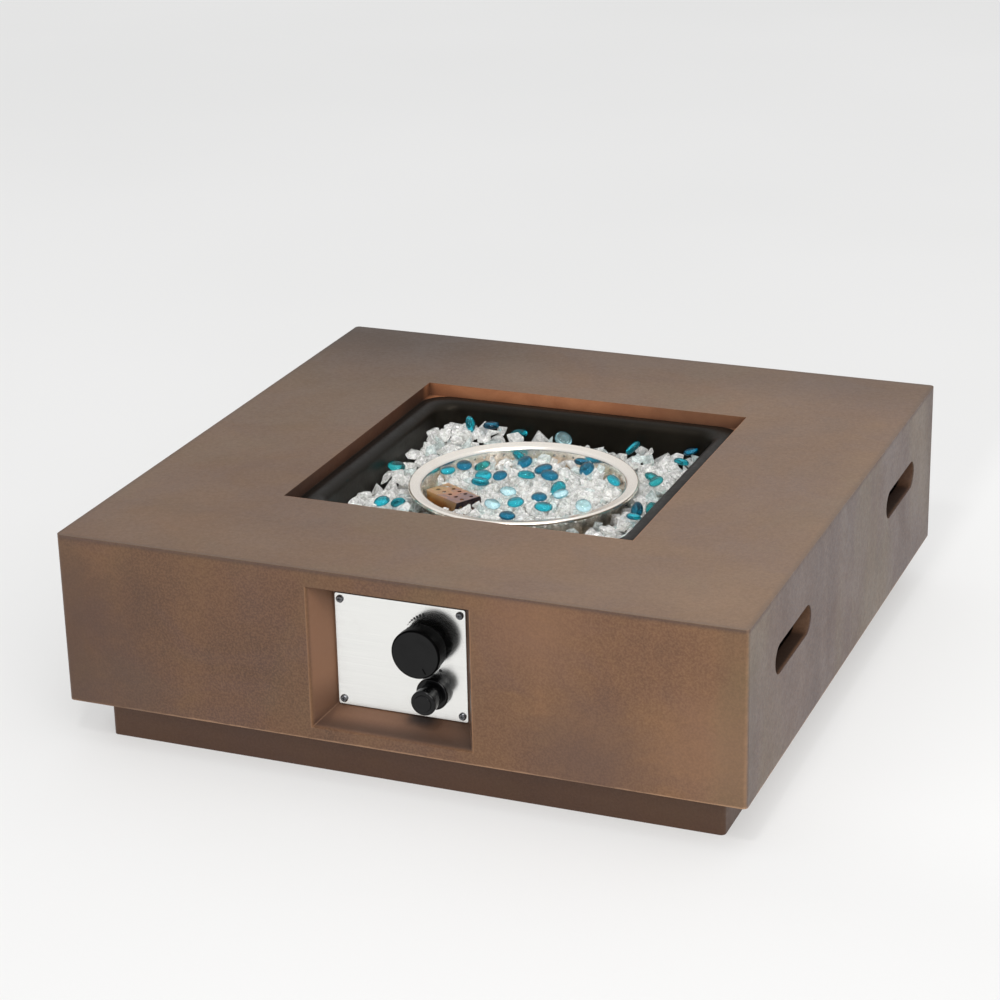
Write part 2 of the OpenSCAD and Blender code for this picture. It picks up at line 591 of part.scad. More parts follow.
module plate_anchors() color([0.8, 0.65, 0.3]) for (i = [-1, 1], j = [-1, 1]) difference() {
  ybar([i * screw_x, pz + j * screw_z], back_y, back_y + 13, 4);
  ybar([i * screw_x, pz + j * screw_z], back_y - 1, back_y + 14, 2.1);
}

module dial_marks() color([0.08, 0.08, 0.08]) translate([knob_x, face_y, knob_z]) rotate([90, 0, 0]) {
  for (i = [0 : 6]) rotate([0, 0, 136 - 7 * i]) translate([25.4 + 0.35 * i, -1.2, 0]) cube([0.5 + 0.6 * i, 2.4, 0.12]);
  rotate([0, 0, -62]) translate([29.4, 0, 0]) cylinder(h = 0.12, r = 1.7);
}

// the knob is an open cup with a hub; its front is almost level with the table's side
module control_knob() color([0.06, 0.06, 0.06]) difference() {
  yturn(K, [[0, face_y - 28], [22.6, face_y - 28], [23.4, face_y - 27.6], [knob_r - 0.5, face_y - 26.9],
    [knob_r, face_y - 26], [knob_r, face_y - 18.5], [knob_r - 0.9, face_y - 18], [knob_r - 0.9, face_y - knob_push - 2.2], [knob_r - 1.5, face_y - knob_push - 1.5],
    [21, face_y - knob_push - 1.5], [21, face_y - 25], [9, face_y - 25], [9, face_y - 16.7], [6.52, face_y - 16.7], [6.52, face_y - 25], [0, face_y - 25]]);
  translate([knob_x, face_y - 28, knob_z]) rotate([0, 60, 0]) block(15, 21.5, -1, 0.5, -0.8, 0.8);
  for (i = [0 : knob_flutes - 1]) let (a = 360 * (i + 0.5) / knob_flutes)
    ybar(K + knob_r * [cos(a), sin(a)], face_y - 18, face_y - knob_push - 1, 1.6);
}

module knob_insert() color([0.7, 0.7, 0.72]) difference() {
  ybar(K, face_y - 25, face_y - 17, 6.5);
  dbar(face_y - 26, face_y - 16, spindle_r + 0.05, 3.05);
}

// ---------- igniter ----------

module igniter_barrel() color([0.07, 0.07, 0.07]) difference() {
  union() {
    yturn(G, concat([[0, back_y - 25], [9.6, back_y - 25], [9.6, back_y - 20.5]],
      [for (i = [0 : 4]) each [[11.4, back_y - 20.5 + 2 * i], [11.4, back_y - 19.3 + 2 * i], [10.7, back_y - 19.1 + 2 * i], [10.7, back_y - 18.7 + 2 * i]]],
      [[11.4, back_y - 10.5], [11.4, back_y], [14.5, back_y], [14.5, back_y + 4], [13, back_y + 4], [13, back_y + 62], [0, back_y + 62]]));
  }
  ybar(G, back_y - 26, back_y + 28.6, 7.6);
  ybar(G, back_y + 20, back_y + 32, 2);
  ybar(G, back_y + 30.6, back_y + 63, 11.5);
}

module igniter_lock_ring() color([0.07, 0.07, 0.07])
  yturn(G, [[11.45, face_y], [lock_r, face_y], [lock_r, face_y - 6.6], [lock_r - 1.4, face_y - 8], [11.45, face_y - 8]]);

module igniter_cap_seal() color([0.3, 0.06, 0.05]) difference() {
  ybar(G, back_y - 21.3, back_y - 20.5, 11.2);
  ybar(G, back_y - 22, back_y - 20, 9.7);
}

module igniter_cap() color([0.06, 0.06, 0.06])
  yturn(G, [[9.65, back_y - 21.3], [cap_r - 0.5, back_y - 21.3], [cap_r, back_y - 21.8], [cap_r, back_y - 29.3], [cap_r - 1.2, back_y - 30.5],
    [button_r + 0.06, back_y - 30.5], [button_r + 0.06, back_y - 28.5], [9.65, back_y - 28.5]]);

module igniter_button() color([0.1, 0.1, 0.1])
  yturn(G, [[0, back_y - 31.4], [button_r - 0.8, back_y - 31.4], [button_r, back_y - 30.9], [button_r, back_y - 28.5], [9.3, back_y - 28.5],
    [9.3, back_y - 27.3], [3, back_y - 27.3], [3, back_y - 25.4], [0, back_y - 25.4]]);

module igniter_spring() color([0.7, 0.7, 0.7]) coil(G, back_y - 27.25, back_y - 22.85, 5.2, 0.4, 3);

module igniter_battery() color([0.55, 0.42, 0.2]) {
  ybar(G, back_y - 22.8, back_y + 27.2, 7.1);
  ybar(G, back_y + 27, back_y + 28.5, 2.7);
}

module spark_module() color([0.12, 0.12, 0.13]) {
  ybar(G, back_y + 33, back_y + 57, 11.3);
  ybar(G, back_y + 28.6, back_y + 33.1, 1.8);
}

module igniter_end_cap() color([0.1, 0.1, 0.1]) difference() {
  ybar(G, back_y + 59, back_y + 62, 11.45);
  ybar(G, back_y + 58, back_y + 63, 1.9);
}

// ---------- glass (stand-ins for the loose pieces) ----------

module fire_glass_outer() color([0.7, 0.85, 0.88, 0.6]) difference() {
  slab(pan_w - 2 * pan_t - 2, pan_w - 2 * pan_t - 2, pan_r - 2.5, pan_z + pan_t + 0.5, glass_outer_z);
  zbar([0, 0], pan_z, glass_outer_z + 1, 110);
}

module fire_glass_inner() color([0.7, 0.85, 0.9, 0.6]) difference() {
  translate([0, 0, fl_z + 4]) cylinder(h = glass_inner_z - fl_z - 4, r1 = 98, r2 = 104);
  zbar([0, 0], fl_z, fl_z + 29, ring_r + ring_tube_r + 3);
  pilot() block(-60, hood_l / 2 + 1, -25, 21.5, fl_z, hood_z + 5);
}

// ---------- nodes ----------

table_shell();
plinth();
base_brackets();
base_bracket_screws();
hose_grommet();
burner_pan();
burner_bowl();
burner_ring();
burner_lock_nut();
air_mixer();
gas_jet();
jet_elbow();
elbow_tube_nut();
gas_supply_tube();
valve_tube_nut();
valve_body();
valve_bonnet();
bonnet_screws();
valve_panel_nut();
valve_plug();
valve_spindle();
spindle_washer();
spindle_spring();
safety_magnet();
gas_inlet_fitting();
thermocouple_nut();
thermocouple_lead();
thermocouple_probe();
spark_electrode();
electrode_rod();
ignition_lead();
lead_clips();
pilot_bracket();
pilot_rivets();
pilot_hood();
hood_screws();
control_plate();
plate_screws();
plate_anchors();
dial_marks();
control_knob();
knob_insert();
igniter_barrel();
igniter_lock_ring();
igniter_cap_seal();
igniter_cap();
igniter_button();
igniter_spring();
igniter_battery();
spark_module();
igniter_end_cap();
fire_glass_outer();
fire_glass_inner();
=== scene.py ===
"""Looks of the concrete fire pit table: materials, rounded casting, rolled pan rim and loose fire glass."""

import json
import math

import bmesh
import bpy
import numpy as np
from mathutils import Matrix, Vector
from mathutils.geometry import delaunay_2d_cdt

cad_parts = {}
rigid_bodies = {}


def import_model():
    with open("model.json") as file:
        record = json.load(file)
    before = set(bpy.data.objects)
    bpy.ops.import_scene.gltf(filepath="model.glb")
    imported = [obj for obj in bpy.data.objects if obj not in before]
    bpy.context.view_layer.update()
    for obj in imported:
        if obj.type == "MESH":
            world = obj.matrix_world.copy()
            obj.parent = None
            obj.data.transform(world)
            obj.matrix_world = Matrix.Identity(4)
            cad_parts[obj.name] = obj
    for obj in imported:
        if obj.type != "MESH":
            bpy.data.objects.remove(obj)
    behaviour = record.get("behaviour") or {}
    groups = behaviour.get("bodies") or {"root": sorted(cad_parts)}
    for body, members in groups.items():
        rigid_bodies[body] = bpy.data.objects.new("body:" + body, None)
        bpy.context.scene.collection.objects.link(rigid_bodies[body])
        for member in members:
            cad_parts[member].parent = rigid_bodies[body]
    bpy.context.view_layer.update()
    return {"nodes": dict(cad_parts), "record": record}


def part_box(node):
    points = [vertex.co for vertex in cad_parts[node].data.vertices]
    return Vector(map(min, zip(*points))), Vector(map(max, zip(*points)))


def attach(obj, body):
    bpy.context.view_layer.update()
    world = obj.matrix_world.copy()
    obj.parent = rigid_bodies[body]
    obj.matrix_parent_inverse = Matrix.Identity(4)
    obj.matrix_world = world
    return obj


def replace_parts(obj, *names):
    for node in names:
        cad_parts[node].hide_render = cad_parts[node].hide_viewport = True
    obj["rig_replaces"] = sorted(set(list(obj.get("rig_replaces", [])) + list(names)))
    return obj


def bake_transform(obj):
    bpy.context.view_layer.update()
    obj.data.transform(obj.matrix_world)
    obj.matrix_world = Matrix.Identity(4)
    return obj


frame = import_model()
nodes = frame["nodes"]
body_of = {n: b for b, ns in frame["record"]["behaviour"]["bodies"].items() for n in ns}
slot_of = {s["node"]: s["material_slot"] for s in frame["record"]["subparts"]}
scene = bpy.context.scene
MM = 0.001


# ---------------------------------------------------------------- materials


class Mat:
    """A procedural material. Textures use object coordinates, in metres."""

    def __init__(self, name):
        self.mat = bpy.data.materials.new(name)
        self.mat.use_nodes = True
        tree = self.mat.node_tree
        self.nodes, self.links = tree.nodes, tree.links
        self.bsdf = self.nodes["Principled BSDF"]
        self.obj = self.nodes.new("ShaderNodeTexCoord").outputs["Object"]

    def put(self, socket, value):
        if isinstance(value, bpy.types.NodeSocket):
            self.links.new(value, socket)
        elif isinstance(value, (tuple, list)) and len(value) == 3 and len(socket.default_value) == 4:
            socket.default_value = (*value, 1)
        else:
            socket.default_value = value

    def set(self, **values):
        for k, v in values.items():
            self.put(self.bsdf.inputs[k.replace("_", " ")], v)
        return self

    def scaled(self, sx, sy, sz, offset=(0, 0, 0), vec=None):
        m = self.nodes.new("ShaderNodeMapping")
        m.inputs["Scale"].default_value = (sx, sy, sz)
        m.inputs["Location"].default_value = offset
        self.links.new(vec or self.obj, m.inputs["Vector"])
        return m.outputs["Vector"]

    def noise(self, scale, detail=3.0, rough=0.5, warp=0.0, vec=None):
        n = self.nodes.new("ShaderNodeTexNoise")
        for k, v in (("Scale", scale), ("Detail", detail), ("Roughness", rough), ("Distortion", warp)):
            n.inputs[k].default_value = v
        self.links.new(vec or self.obj, n.inputs["Vector"])
        return n.outputs["Fac"]

    def voronoi(self, scale, feature="F1", vec=None, out="Distance"):
        n = self.nodes.new("ShaderNodeTexVoronoi")
        n.feature = feature
        n.inputs["Scale"].default_value = scale
        self.links.new(vec or self.obj, n.inputs["Vector"])
        return n.outputs[out]

    def math(self, op, a, b=0.0, c=None, clamp=False):
        n = self.nodes.new("ShaderNodeMath")
        n.operation = op
        n.use_clamp = clamp
        for i, v in enumerate((a, b) if c is None else (a, b, c)):
            self.put(n.inputs[i], v)
        return n.outputs[0]

    def span(self, value, a, b, lo=0.0, hi=1.0):
        n = self.nodes.new("ShaderNodeMapRange")
        n.interpolation_type = "SMOOTHSTEP"
        self.put(n.inputs["Value"], value)
        for k, v in (("From Min", a), ("From Max", b), ("To Min", lo), ("To Max", hi)):
            n.inputs[k].default_value = v
        return n.outputs["Result"]

    def ramp(self, fac, stops):
        n = self.nodes.new("ShaderNodeValToRGB")
        r = n.color_ramp
        r.elements[0].position, r.elements[1].position = stops[0][0], stops[-1][0]
        r.elements[0].color, r.elements[1].color = (*stops[0][1], 1), (*stops[-1][1], 1)
        for p, c in stops[1:-1]:
            r.elements.new(p).color = (*c, 1)
        self.links.new(fac, n.inputs["Fac"])
        return n.outputs["Color"]

    def mix(self, fac, a, b, mode="MIX"):
        n = self.nodes.new("ShaderNodeMix")
        n.data_type = "RGBA"
        n.blend_type = mode
        self.put(n.inputs[0], fac)
        self.put(n.inputs[6], a)
        self.put(n.inputs[7], b)
        return n.outputs[2]

    def facets(self, scale):
        """Height of a surface broken into small tilted planes."""
        n = self.nodes.new("ShaderNodeTexVoronoi")
        n.inputs["Scale"].default_value = scale
        self.links.new(self.obj, n.inputs["Vector"])
        lean = self.nodes.new("ShaderNodeVectorMath")
        lean.operation = "SUBTRACT"
        self.links.new(n.outputs["Color"], lean.inputs[0])
        lean.inputs[1].default_value = (0.5, 0.5, 0.5)
        dot = self.nodes.new("ShaderNodeVectorMath")
        dot.operation = "DOT_PRODUCT"
        self.links.new(lean.outputs[0], dot.inputs[0])
        self.links.new(self.obj, dot.inputs[1])
        return dot.outputs["Value"]

    def axes(self, vec=None):
        n = self.nodes.new("ShaderNodeSeparateXYZ")
        self.links.new(vec or self.obj, n.inputs[0])
        return n.outputs

    def join(self, x, y, z):
        n = self.nodes.new("ShaderNodeCombineXYZ")
        for i, v in enumerate((x, y, z)):
            self.put(n.inputs[i], v)
        return n.outputs[0]

    def bump(self, height, distance, strength=1.0, normal=None):
        n = self.nodes.new("ShaderNodeBump")
        n.inputs["Strength"].default_value = strength
        n.inputs["Distance"].default_value = distance
        self.links.new(height, n.inputs["Height"])
        if normal is not None:
            self.links.new(normal, n.inputs["Normal"])
        return n.outputs["Normal"]

    def normal(self):
        return self.nodes.new("ShaderNodeNewGeometry").outputs["Normal"]


def srgb(r, g, b):
    return tuple(v / 255 / 12.92 if v <= 10 else ((v / 255 + 0.055) / 1.055) ** 2.4 for v in (r, g, b))


def concrete():
    """Cast concrete under a brown stain: broad clouds, purple and olive patches, sand grain; painted light and shade
    on the top, front, plinth, opening, recess and slots, and painted highlights along the edges.
    """
    m = Mat("stained_concrete")
    x, y, z = m.axes()
    ax, ay = m.math("ABSOLUTE", x), m.math("ABSOLUTE", y)
    broad = m.noise(4.6, 3, 0.5, 0.5)
    cloud = m.noise(11, 4, 0.6, 0.7, m.scaled(1, 1, 1, (3.1, 7.7, 1.3)))
    streak = m.noise(1, 4, 0.6, 0.5, m.scaled(17, 17, 2.6, (5, 2, 9)))
    patch = m.noise(7.5, 3, 0.5, 0.8, m.scaled(1, 1, 1.6, (11, 4, 2)))
    grain = m.noise(430, 2, 0.6)
    sand = m.noise(190, 3, 0.65)
    tone = m.math("ADD", m.math("MULTIPLY", broad, 0.45), m.math("ADD", m.math("MULTIPLY", cloud, 0.3), m.math("MULTIPLY", streak, 0.25)))
    base = m.ramp(tone, [(0.36, srgb(80, 55, 42)), (0.45, srgb(98, 68, 50)), (0.53, srgb(107, 77, 55)), (0.62, srgb(119, 86, 62))])
    # purple-grey and olive patches in the stain
    base = m.mix(m.span(patch, 0.48, 0.68, 0, 0.6), base, srgb(91, 66, 61))
    base = m.mix(m.span(m.noise(6.3, 3, 0.5, 0.6, m.scaled(1, 1, 1, (2, 19, 6))), 0.5, 0.7, 0, 0.55), base, srgb(103, 84, 60))
    # the two side faces are greyer, with upright runs
    flank = m.math("MULTIPLY", m.span(ax, 0.3535, 0.3552, 0, 1), m.span(z, 0.2255, 0.2225, 0, 1))
    runs = m.math("ADD", m.math("MULTIPLY", m.noise(1, 3, 0.5, 0.5, m.scaled(5, 6.5, 3.4, (1, 6, 3))), 0.66), m.math("MULTIPLY", m.noise(1, 3, 0.5, 0.4, m.scaled(14, 17, 2.2, (7, 3, 5))), 0.34))
    base = m.mix(m.math("MULTIPLY", flank, m.span(y, -0.35, 0.0, 0.78, 0.86)), base, m.ramp(runs, [(0.36, srgb(80, 70, 71)), (0.45, srgb(95, 84, 82)), (0.53, srgb(105, 96, 86)), (0.63, srgb(127, 115, 101))]))
    base = m.mix(m.span(sand, 0.3, 0.7, 0.0, 0.23), base, srgb(74, 52, 40))
    base = m.mix(m.span(grain, 0.35, 0.68, 0.0, 0.25), base, srgb(146, 112, 88))
    # copper colour on the opening's inner wall and in the control recess, where the stain has pooled less; on the
    # opening's wall it is also painted warm light of the fire
    inside = m.span(m.math("MAXIMUM", ax, ay), 0.1872, 0.1886, 1.0, 0.0)
    base = m.mix(m.math("MULTIPLY", inside, m.span(z, 0.19, 0.2, 0, 0.85)), base, m.ramp(cloud, [(0.35, srgb(166, 102, 66)), (0.65, srgb(204, 136, 92))]))
    # painted shade: the wall on the left is darker towards the front, as it faces away from the light
    base = m.mix(m.math("MULTIPLY", m.math("MULTIPLY", inside, m.span(z, 0.2, 0.212, 0, 1)), m.math("MULTIPLY", m.span(x, -0.18, -0.1862, 0, 1), m.span(y, 0.179, 0.166, 0.35, 0.93))), base, srgb(52, 30, 18))
    base = m.mix(m.math("MULTIPLY", m.math("MULTIPLY", inside, m.span(z, 0.2, 0.212, 0, 1)), m.math("MULTIPLY", m.span(x, -0.18, -0.1862, 0, 1), m.math("ADD", m.span(y, -0.04, -0.16, 0, 0.6), m.math("MULTIPLY", m.span(y, 0.09, 0.13), m.span(y, 0.172, 0.166, 0, 0.45))))), base, srgb(22, 12, 8))
    # and painted shade on the one at the back, towards the right
    base = m.mix(m.math("MULTIPLY", m.math("MULTIPLY", inside, m.span(z, 0.2, 0.212, 0, 1)), m.math("MULTIPLY", m.span(y, 0.17, 0.18, 0, 1), m.span(x, 0.0, 0.14, 0, 0.62))), base, srgb(44, 33, 27))
    deep = m.math("MULTIPLY", m.span(y, -0.3548, -0.35, 0, 1), m.math("MULTIPLY", m.math("MULTIPLY", m.span(ax, 0.083, 0.086, 1, 0), m.math("MULTIPLY", m.span(z, 0.055, 0.0585, 0, 1), m.span(z, 0.2085, 0.2105, 1, 0))), m.span(y, -0.31, -0.3, 1, 0)))
    base = m.mix(m.math("MULTIPLY", deep, 0.5), base, srgb(122, 86, 62))
    # painted light: the recess's left slope is lighter
    base = m.mix(m.math("MULTIPLY", deep, m.span(x, -0.066, -0.072, 0, 0.75)), base, srgb(138, 100, 75))
    # painted shade on the recess's bottom slope, darkest along its outer edge
    base = m.mix(m.math("MULTIPLY", deep, m.span(z, 0.077, 0.072, 0, 0.7)), base, srgb(118, 86, 66))
    base = m.mix(m.math("MULTIPLY", deep, m.span(z, 0.07, 0.063, 0, 0.88)), base, srgb(72, 51, 38))
    # painted shade on the lower part of the left slope, and on the bottom slope towards the right
    base = m.mix(m.math("MULTIPLY", deep, m.math("MULTIPLY", m.span(x, -0.066, -0.072, 0, 1), m.span(z, 0.115, 0.08, 0, 0.5))), base, srgb(74, 50, 38))
    base = m.mix(m.math("MULTIPLY", deep, m.math("MULTIPLY", m.span(x, -0.01, 0.03, 0, 0.4), m.span(z, 0.077, 0.072, 0, 1))), base, srgb(62, 44, 33))
    # painted shadow of the igniter on the recess's bottom slope
    base = m.mix(m.math("MULTIPLY", deep, m.math("MULTIPLY", m.span(m.math("ABSOLUTE", m.math("SUBTRACT", x, 0.021)), 0.006, 0.021, 0.9, 0), m.math("MULTIPLY", m.span(z, 0.067, 0.073, 0, 1), m.span(z, 0.079, 0.082, 1, 0)))), base, srgb(24, 13, 9))
    # painted highlights on the recess's arrises: its upright outer edges and the lower corners' diagonals
    out = m.math("SUBTRACT", 0.0845, ax)
    tall = m.math("MULTIPLY", m.span(z, 0.058, 0.061, 0, 1), m.span(z, 0.2065, 0.2095, 1, 0))
    arris = m.math("MULTIPLY", m.span(m.math("ABSOLUTE", m.math("ADD", out, 0.0002)), 0.0003, 0.0014, 1, 0), m.math("MULTIPLY", tall, m.span(y, -0.348, -0.3495, 0, 1)))
    diagonal = m.math("MULTIPLY", m.span(m.math("ABSOLUTE", m.math("SUBTRACT", out, m.math("SUBTRACT", z, 0.06))), 0.0004, 0.0015, 1, 0), m.math("MULTIPLY", m.span(z, 0.078, 0.075, 0, 1), m.math("MULTIPLY", m.span(z, 0.059, 0.0605, 0, 1), m.span(y, -0.32, -0.318, 1, 0))))
    base = m.mix(m.math("MULTIPLY", m.math("MAXIMUM", arris, diagonal), 0.36), base, srgb(160, 122, 96))
    # edges: darker along the top; painted highlights along the upright corners and the foot
    dx, dy = m.math("SUBTRACT", 0.3555, ax), m.math("SUBTRACT", 0.3555, ay)
    top, foot = m.math("SUBTRACT", 0.227, z), m.math("ABSOLUTE", m.math("SUBTRACT", z, 0.0475))
    edge_jitter = m.math("MULTIPLY", m.math("SUBTRACT", m.noise(60, 3, 0.6, 0.3), 0.5), 0.003)
    side = m.math("MINIMUM", dx, dy)
    corner = m.math("MAXIMUM", dx, dy)

    def near(a, b):
        return m.math("ADD", m.math("MAXIMUM", a, b), edge_jitter)

    # a darker upright band where the mould's corner was
    base = m.mix(m.math("MULTIPLY", m.span(m.math("ADD", corner, m.math("MULTIPLY", edge_jitter, 2.5)), 0.018, 0.034, 0.22, 0), m.span(side, 0.001, 0.004, 1, 0)), base, srgb(86, 73, 58))
    base = m.mix(m.span(near(side, top), 0.0015, 0.0065, 0.55, 0), base, srgb(72, 54, 46))
    # painted highlights along the upright corners and along the foot
    base = m.mix(m.span(near(side, m.math("MULTIPLY", corner, 0.6)), 0.0004, 0.0024, 0.36, 0), base, srgb(156, 124, 104))
    base = m.mix(m.span(near(side, foot), 0.0003, 0.0021, 0.6, 0), base, srgb(172, 138, 116))
    # painted shade: the plinth is darker, as it sits in the shadow of the overhang
    base = m.mix(m.span(z, 0.0474, 0.0462, 0, 0.7), base, srgb(76, 42, 12))
    # painted light: the front is warmer and lighter to the right; painted shade: the top is darker towards its far
    # left corner
    front = m.math("MULTIPLY", m.span(y, -0.352, -0.3545, 0, 1), m.span(z, 0.2262, 0.2225, 0, 1))
    base = m.mix(front, base, m.mix(m.span(x, -0.04, 0.3), m.mix(m.span(x, -0.35, -0.13), (0.88, 0.83, 0.68), (0.98, 0.92, 0.75)), (1.2, 1.14, 0.92)), "MULTIPLY")

    def stain(sx, sz, r, most, color):
        """A soft round patch on the front."""
        d = m.math("ADD", m.math("POWER", m.math("SUBTRACT", x, sx), 2.0), m.math("POWER", m.math("SUBTRACT", z, sz), 2.0))
        w = m.span(m.math("ADD", m.math("SQRT", d), m.math("MULTIPLY", m.math("SUBTRACT", cloud, 0.5), r)), 0.0, r, most, 0.0)
        return m.mix(m.math("MULTIPLY", front, w), base, color)

    base = stain(-0.35, 0.12, 0.13, 0.75, srgb(80, 56, 44))
    base = stain(-0.29, 0.06, 0.09, 0.4, srgb(80, 60, 52))
    base = stain(0.2, 0.07, 0.1, 0.6, srgb(86, 64, 56))
    base = stain(0.14, 0.2, 0.09, 0.4, srgb(136, 98, 72))
    base = stain(0.33, 0.1, 0.09, 0.35, srgb(138, 102, 78))
    # painted light and shade on the top: lighter and greyer to the right, darker towards the back and its far left
    # corner
    lid = m.span(z, 0.2262, 0.2268, 0, 1)
    across = m.mix(m.span(x, 0.04, 0.33), m.mix(m.span(x, -0.33, 0.0), (0.92, 0.92, 0.84), (1.05, 1.1, 1.05)), (1.24, 1.36, 1.28))
    base = m.mix(lid, base, across, "MULTIPLY")
    base = m.mix(m.math("MULTIPLY", lid, 0.5), base, m.mix(m.span(x, -0.2, 0.33), (0.134, 0.08, 0.044), (0.182, 0.116, 0.074)))
    away = m.math("ADD", m.math("MULTIPLY", m.span(y, 0.08, 0.28), m.span(x, -0.05, -0.26, 0, 0.38)), m.span(y, 0.22, 0.33, 0, 0.23))
    base = m.mix(m.math("MULTIPLY", lid, away), base, (0.02, 0.015, 0.013))
    # painted shade inside the finger slots, less of it at their far ends
    along = m.math("SUBTRACT", y, m.math("MULTIPLY", m.math("SIGN", y), 0.208))
    slot = m.math("MULTIPLY", m.math("MULTIPLY", m.span(ax, 0.3546, 0.351, 0, 1), m.span(ax, 0.337, 0.339, 0, 1)), m.math("MULTIPLY", m.span(m.math("ABSOLUTE", m.math("SUBTRACT", z, 0.156)), 0.0164, 0.0172, 1, 0), m.span(m.math("ABSOLUTE", along), 0.0625, 0.064, 1, 0)))
    base = m.mix(m.math("MULTIPLY", slot, m.span(along, 0.042, 0.058, 0.86, 0.2)), base, srgb(40, 27, 20))
    # dirt and shade in the hollows
    hollow = m.nodes.new("ShaderNodeAmbientOcclusion")
    hollow.samples = 8
    hollow.inputs["Distance"].default_value = 0.045
    base = m.mix(m.span(hollow.outputs["AO"], 0.2, 0.72, 0.72, 0), base, srgb(34, 22, 15))
    rough = m.span(m.math("ADD", m.math("MULTIPLY", cloud, 0.6), m.math("MULTIPLY", sand, 0.4)), 0.3, 0.7, 0.42, 0.58)
    wave = m.bump(m.noise(22, 2, 0.5), 0.0008, 0.35)
    skin = m.bump(sand, 0.0004, 0.35, wave)
    return m.set(Base_Color=base, Roughness=rough, Normal=m.bump(grain, 0.00016, 0.4, skin)).mat


def metal(name, color, rough, grain=(400, 400, 400), depth=0.00002, tarnish=None, spread=0.08, metallic=1.0):
    """Bare metal: directional grain in colour, roughness and bump, with cloudy handling marks."""
    m = Mat(name)
    lines = m.noise(1, 3, 0.7, 0, m.scaled(*grain))
    marks = m.noise(55, 4, 0.6, 0.4)
    dark = tuple(c * 0.72 for c in color)
    base = m.mix(m.span(lines, 0.25, 0.75, 0, 0.5), color, dark)
    base = m.mix(m.span(marks, 0.5, 0.75, 0, 0.45), base, tarnish or tuple(c * 0.8 for c in color))
    r = m.math("ADD", m.span(lines, 0.2, 0.8, rough - spread / 2, rough + spread / 2), m.span(marks, 0.4, 0.8, 0, spread))
    return m.set(Base_Color=base, Metallic=metallic, Roughness=r, Normal=m.bump(lines, depth, 0.5)).mat


def plastic(name, color, rough, wear=None, grain=900, depth=0.00004, spread=0.1, spec=0.5):
    """Moulded plastic or rubber: fine skin texture, dull handling patches."""
    m = Mat(name)
    skin = m.noise(grain, 2, 0.5)
    dull = m.noise(70, 4, 0.6, 0.4)
    base = m.mix(m.span(dull, 0.45, 0.75, 0, 0.6), color, wear or tuple(min(1, c * 1.5 + 0.004) for c in color))
    base = m.mix(m.span(skin, 0.3, 0.7, 0, 0.25), base, tuple(c * 0.7 for c in color))
    r = m.math("ADD", m.span(dull, 0.3, 0.75, rough, rough + spread), m.span(skin, 0.3, 0.7, 0, spread * 0.4))
    m.set(Specular_IOR_Level=spec)
    return m.set(Base_Color=base, Roughness=r, Normal=m.bump(skin, depth, 0.4)).mat


def enamel():
    """Black high-temperature paint: satin, slightly orange-peeled, with a dusty bloom."""
    m = Mat("black_pan_enamel")
    peel = m.noise(260, 2, 0.5)
    dust = m.noise(26, 4, 0.65, 0.5)
    fine = m.noise(900, 2, 0.5)
    base = m.mix(m.span(dust, 0.42, 0.75, 0, 0.7), srgb(13, 11, 8), srgb(24, 20, 15))
    base = m.mix(m.span(fine, 0.4, 0.7, 0, 0.2), base, srgb(34, 29, 23))
    rough = m.math("ADD", m.span(dust, 0.3, 0.7, 0.3, 0.42), m.span(peel, 0.3, 0.7, 0, 0.06))
    m.bsdf.inputs["Specular IOR Level"].default_value = 0.17
    m.bsdf.inputs["Specular Tint"].default_value = (1.0, 0.87, 0.7, 1)
    return m.set(Base_Color=base, Roughness=rough, Normal=m.bump(peel, 0.0001, 0.3)).mat


def bowl_steel():
    """Spun stainless: rings of fine brushing about the axis, straw heat tint on the inner wall."""
    m = Mat("spun_stainless")
    x, y, z = m.axes()
    r = m.math("SQRT", m.math("ADD", m.math("MULTIPLY", x, x), m.math("MULTIPLY", y, y)))
    a = m.math("ARCTAN2", y, x)
    rings = m.noise(1, 3, 0.7, 0, m.join(m.math("MULTIPLY", r, 900), m.math("MULTIPLY", a, 1.2), m.math("MULTIPLY", z, 900)))
    marks = m.noise(34, 4, 0.6, 0.5)
    base = m.mix(m.span(rings, 0.25, 0.75, 0, 0.14), srgb(253, 247, 238), srgb(234, 227, 216))
    base = m.mix(m.span(marks, 0.5, 0.78, 0, 0.25), base, srgb(236, 226, 210))
    heat = m.math("MULTIPLY", m.span(r, 0.1062, 0.1076, 1, 0), m.span(marks, 0.35, 0.7, 0.3, 0.8))
    base = m.mix(heat, base, srgb(206, 172, 134))
    rough = m.math("ADD", m.span(rings, 0.2, 0.8, 0.17, 0.22), m.span(marks, 0.4, 0.8, 0, 0.06))
    # warm light from the fire on the lip
    m.set(Emission_Color=(1.0, 0.66, 0.28, 1.0), Emission_Strength=m.span(r, 0.107, 0.112, 0, 0.045))
    return m.set(Base_Color=base, Metallic=1.0, Roughness=rough, Normal=m.bump(rings, 0.000003, 0.2)).mat


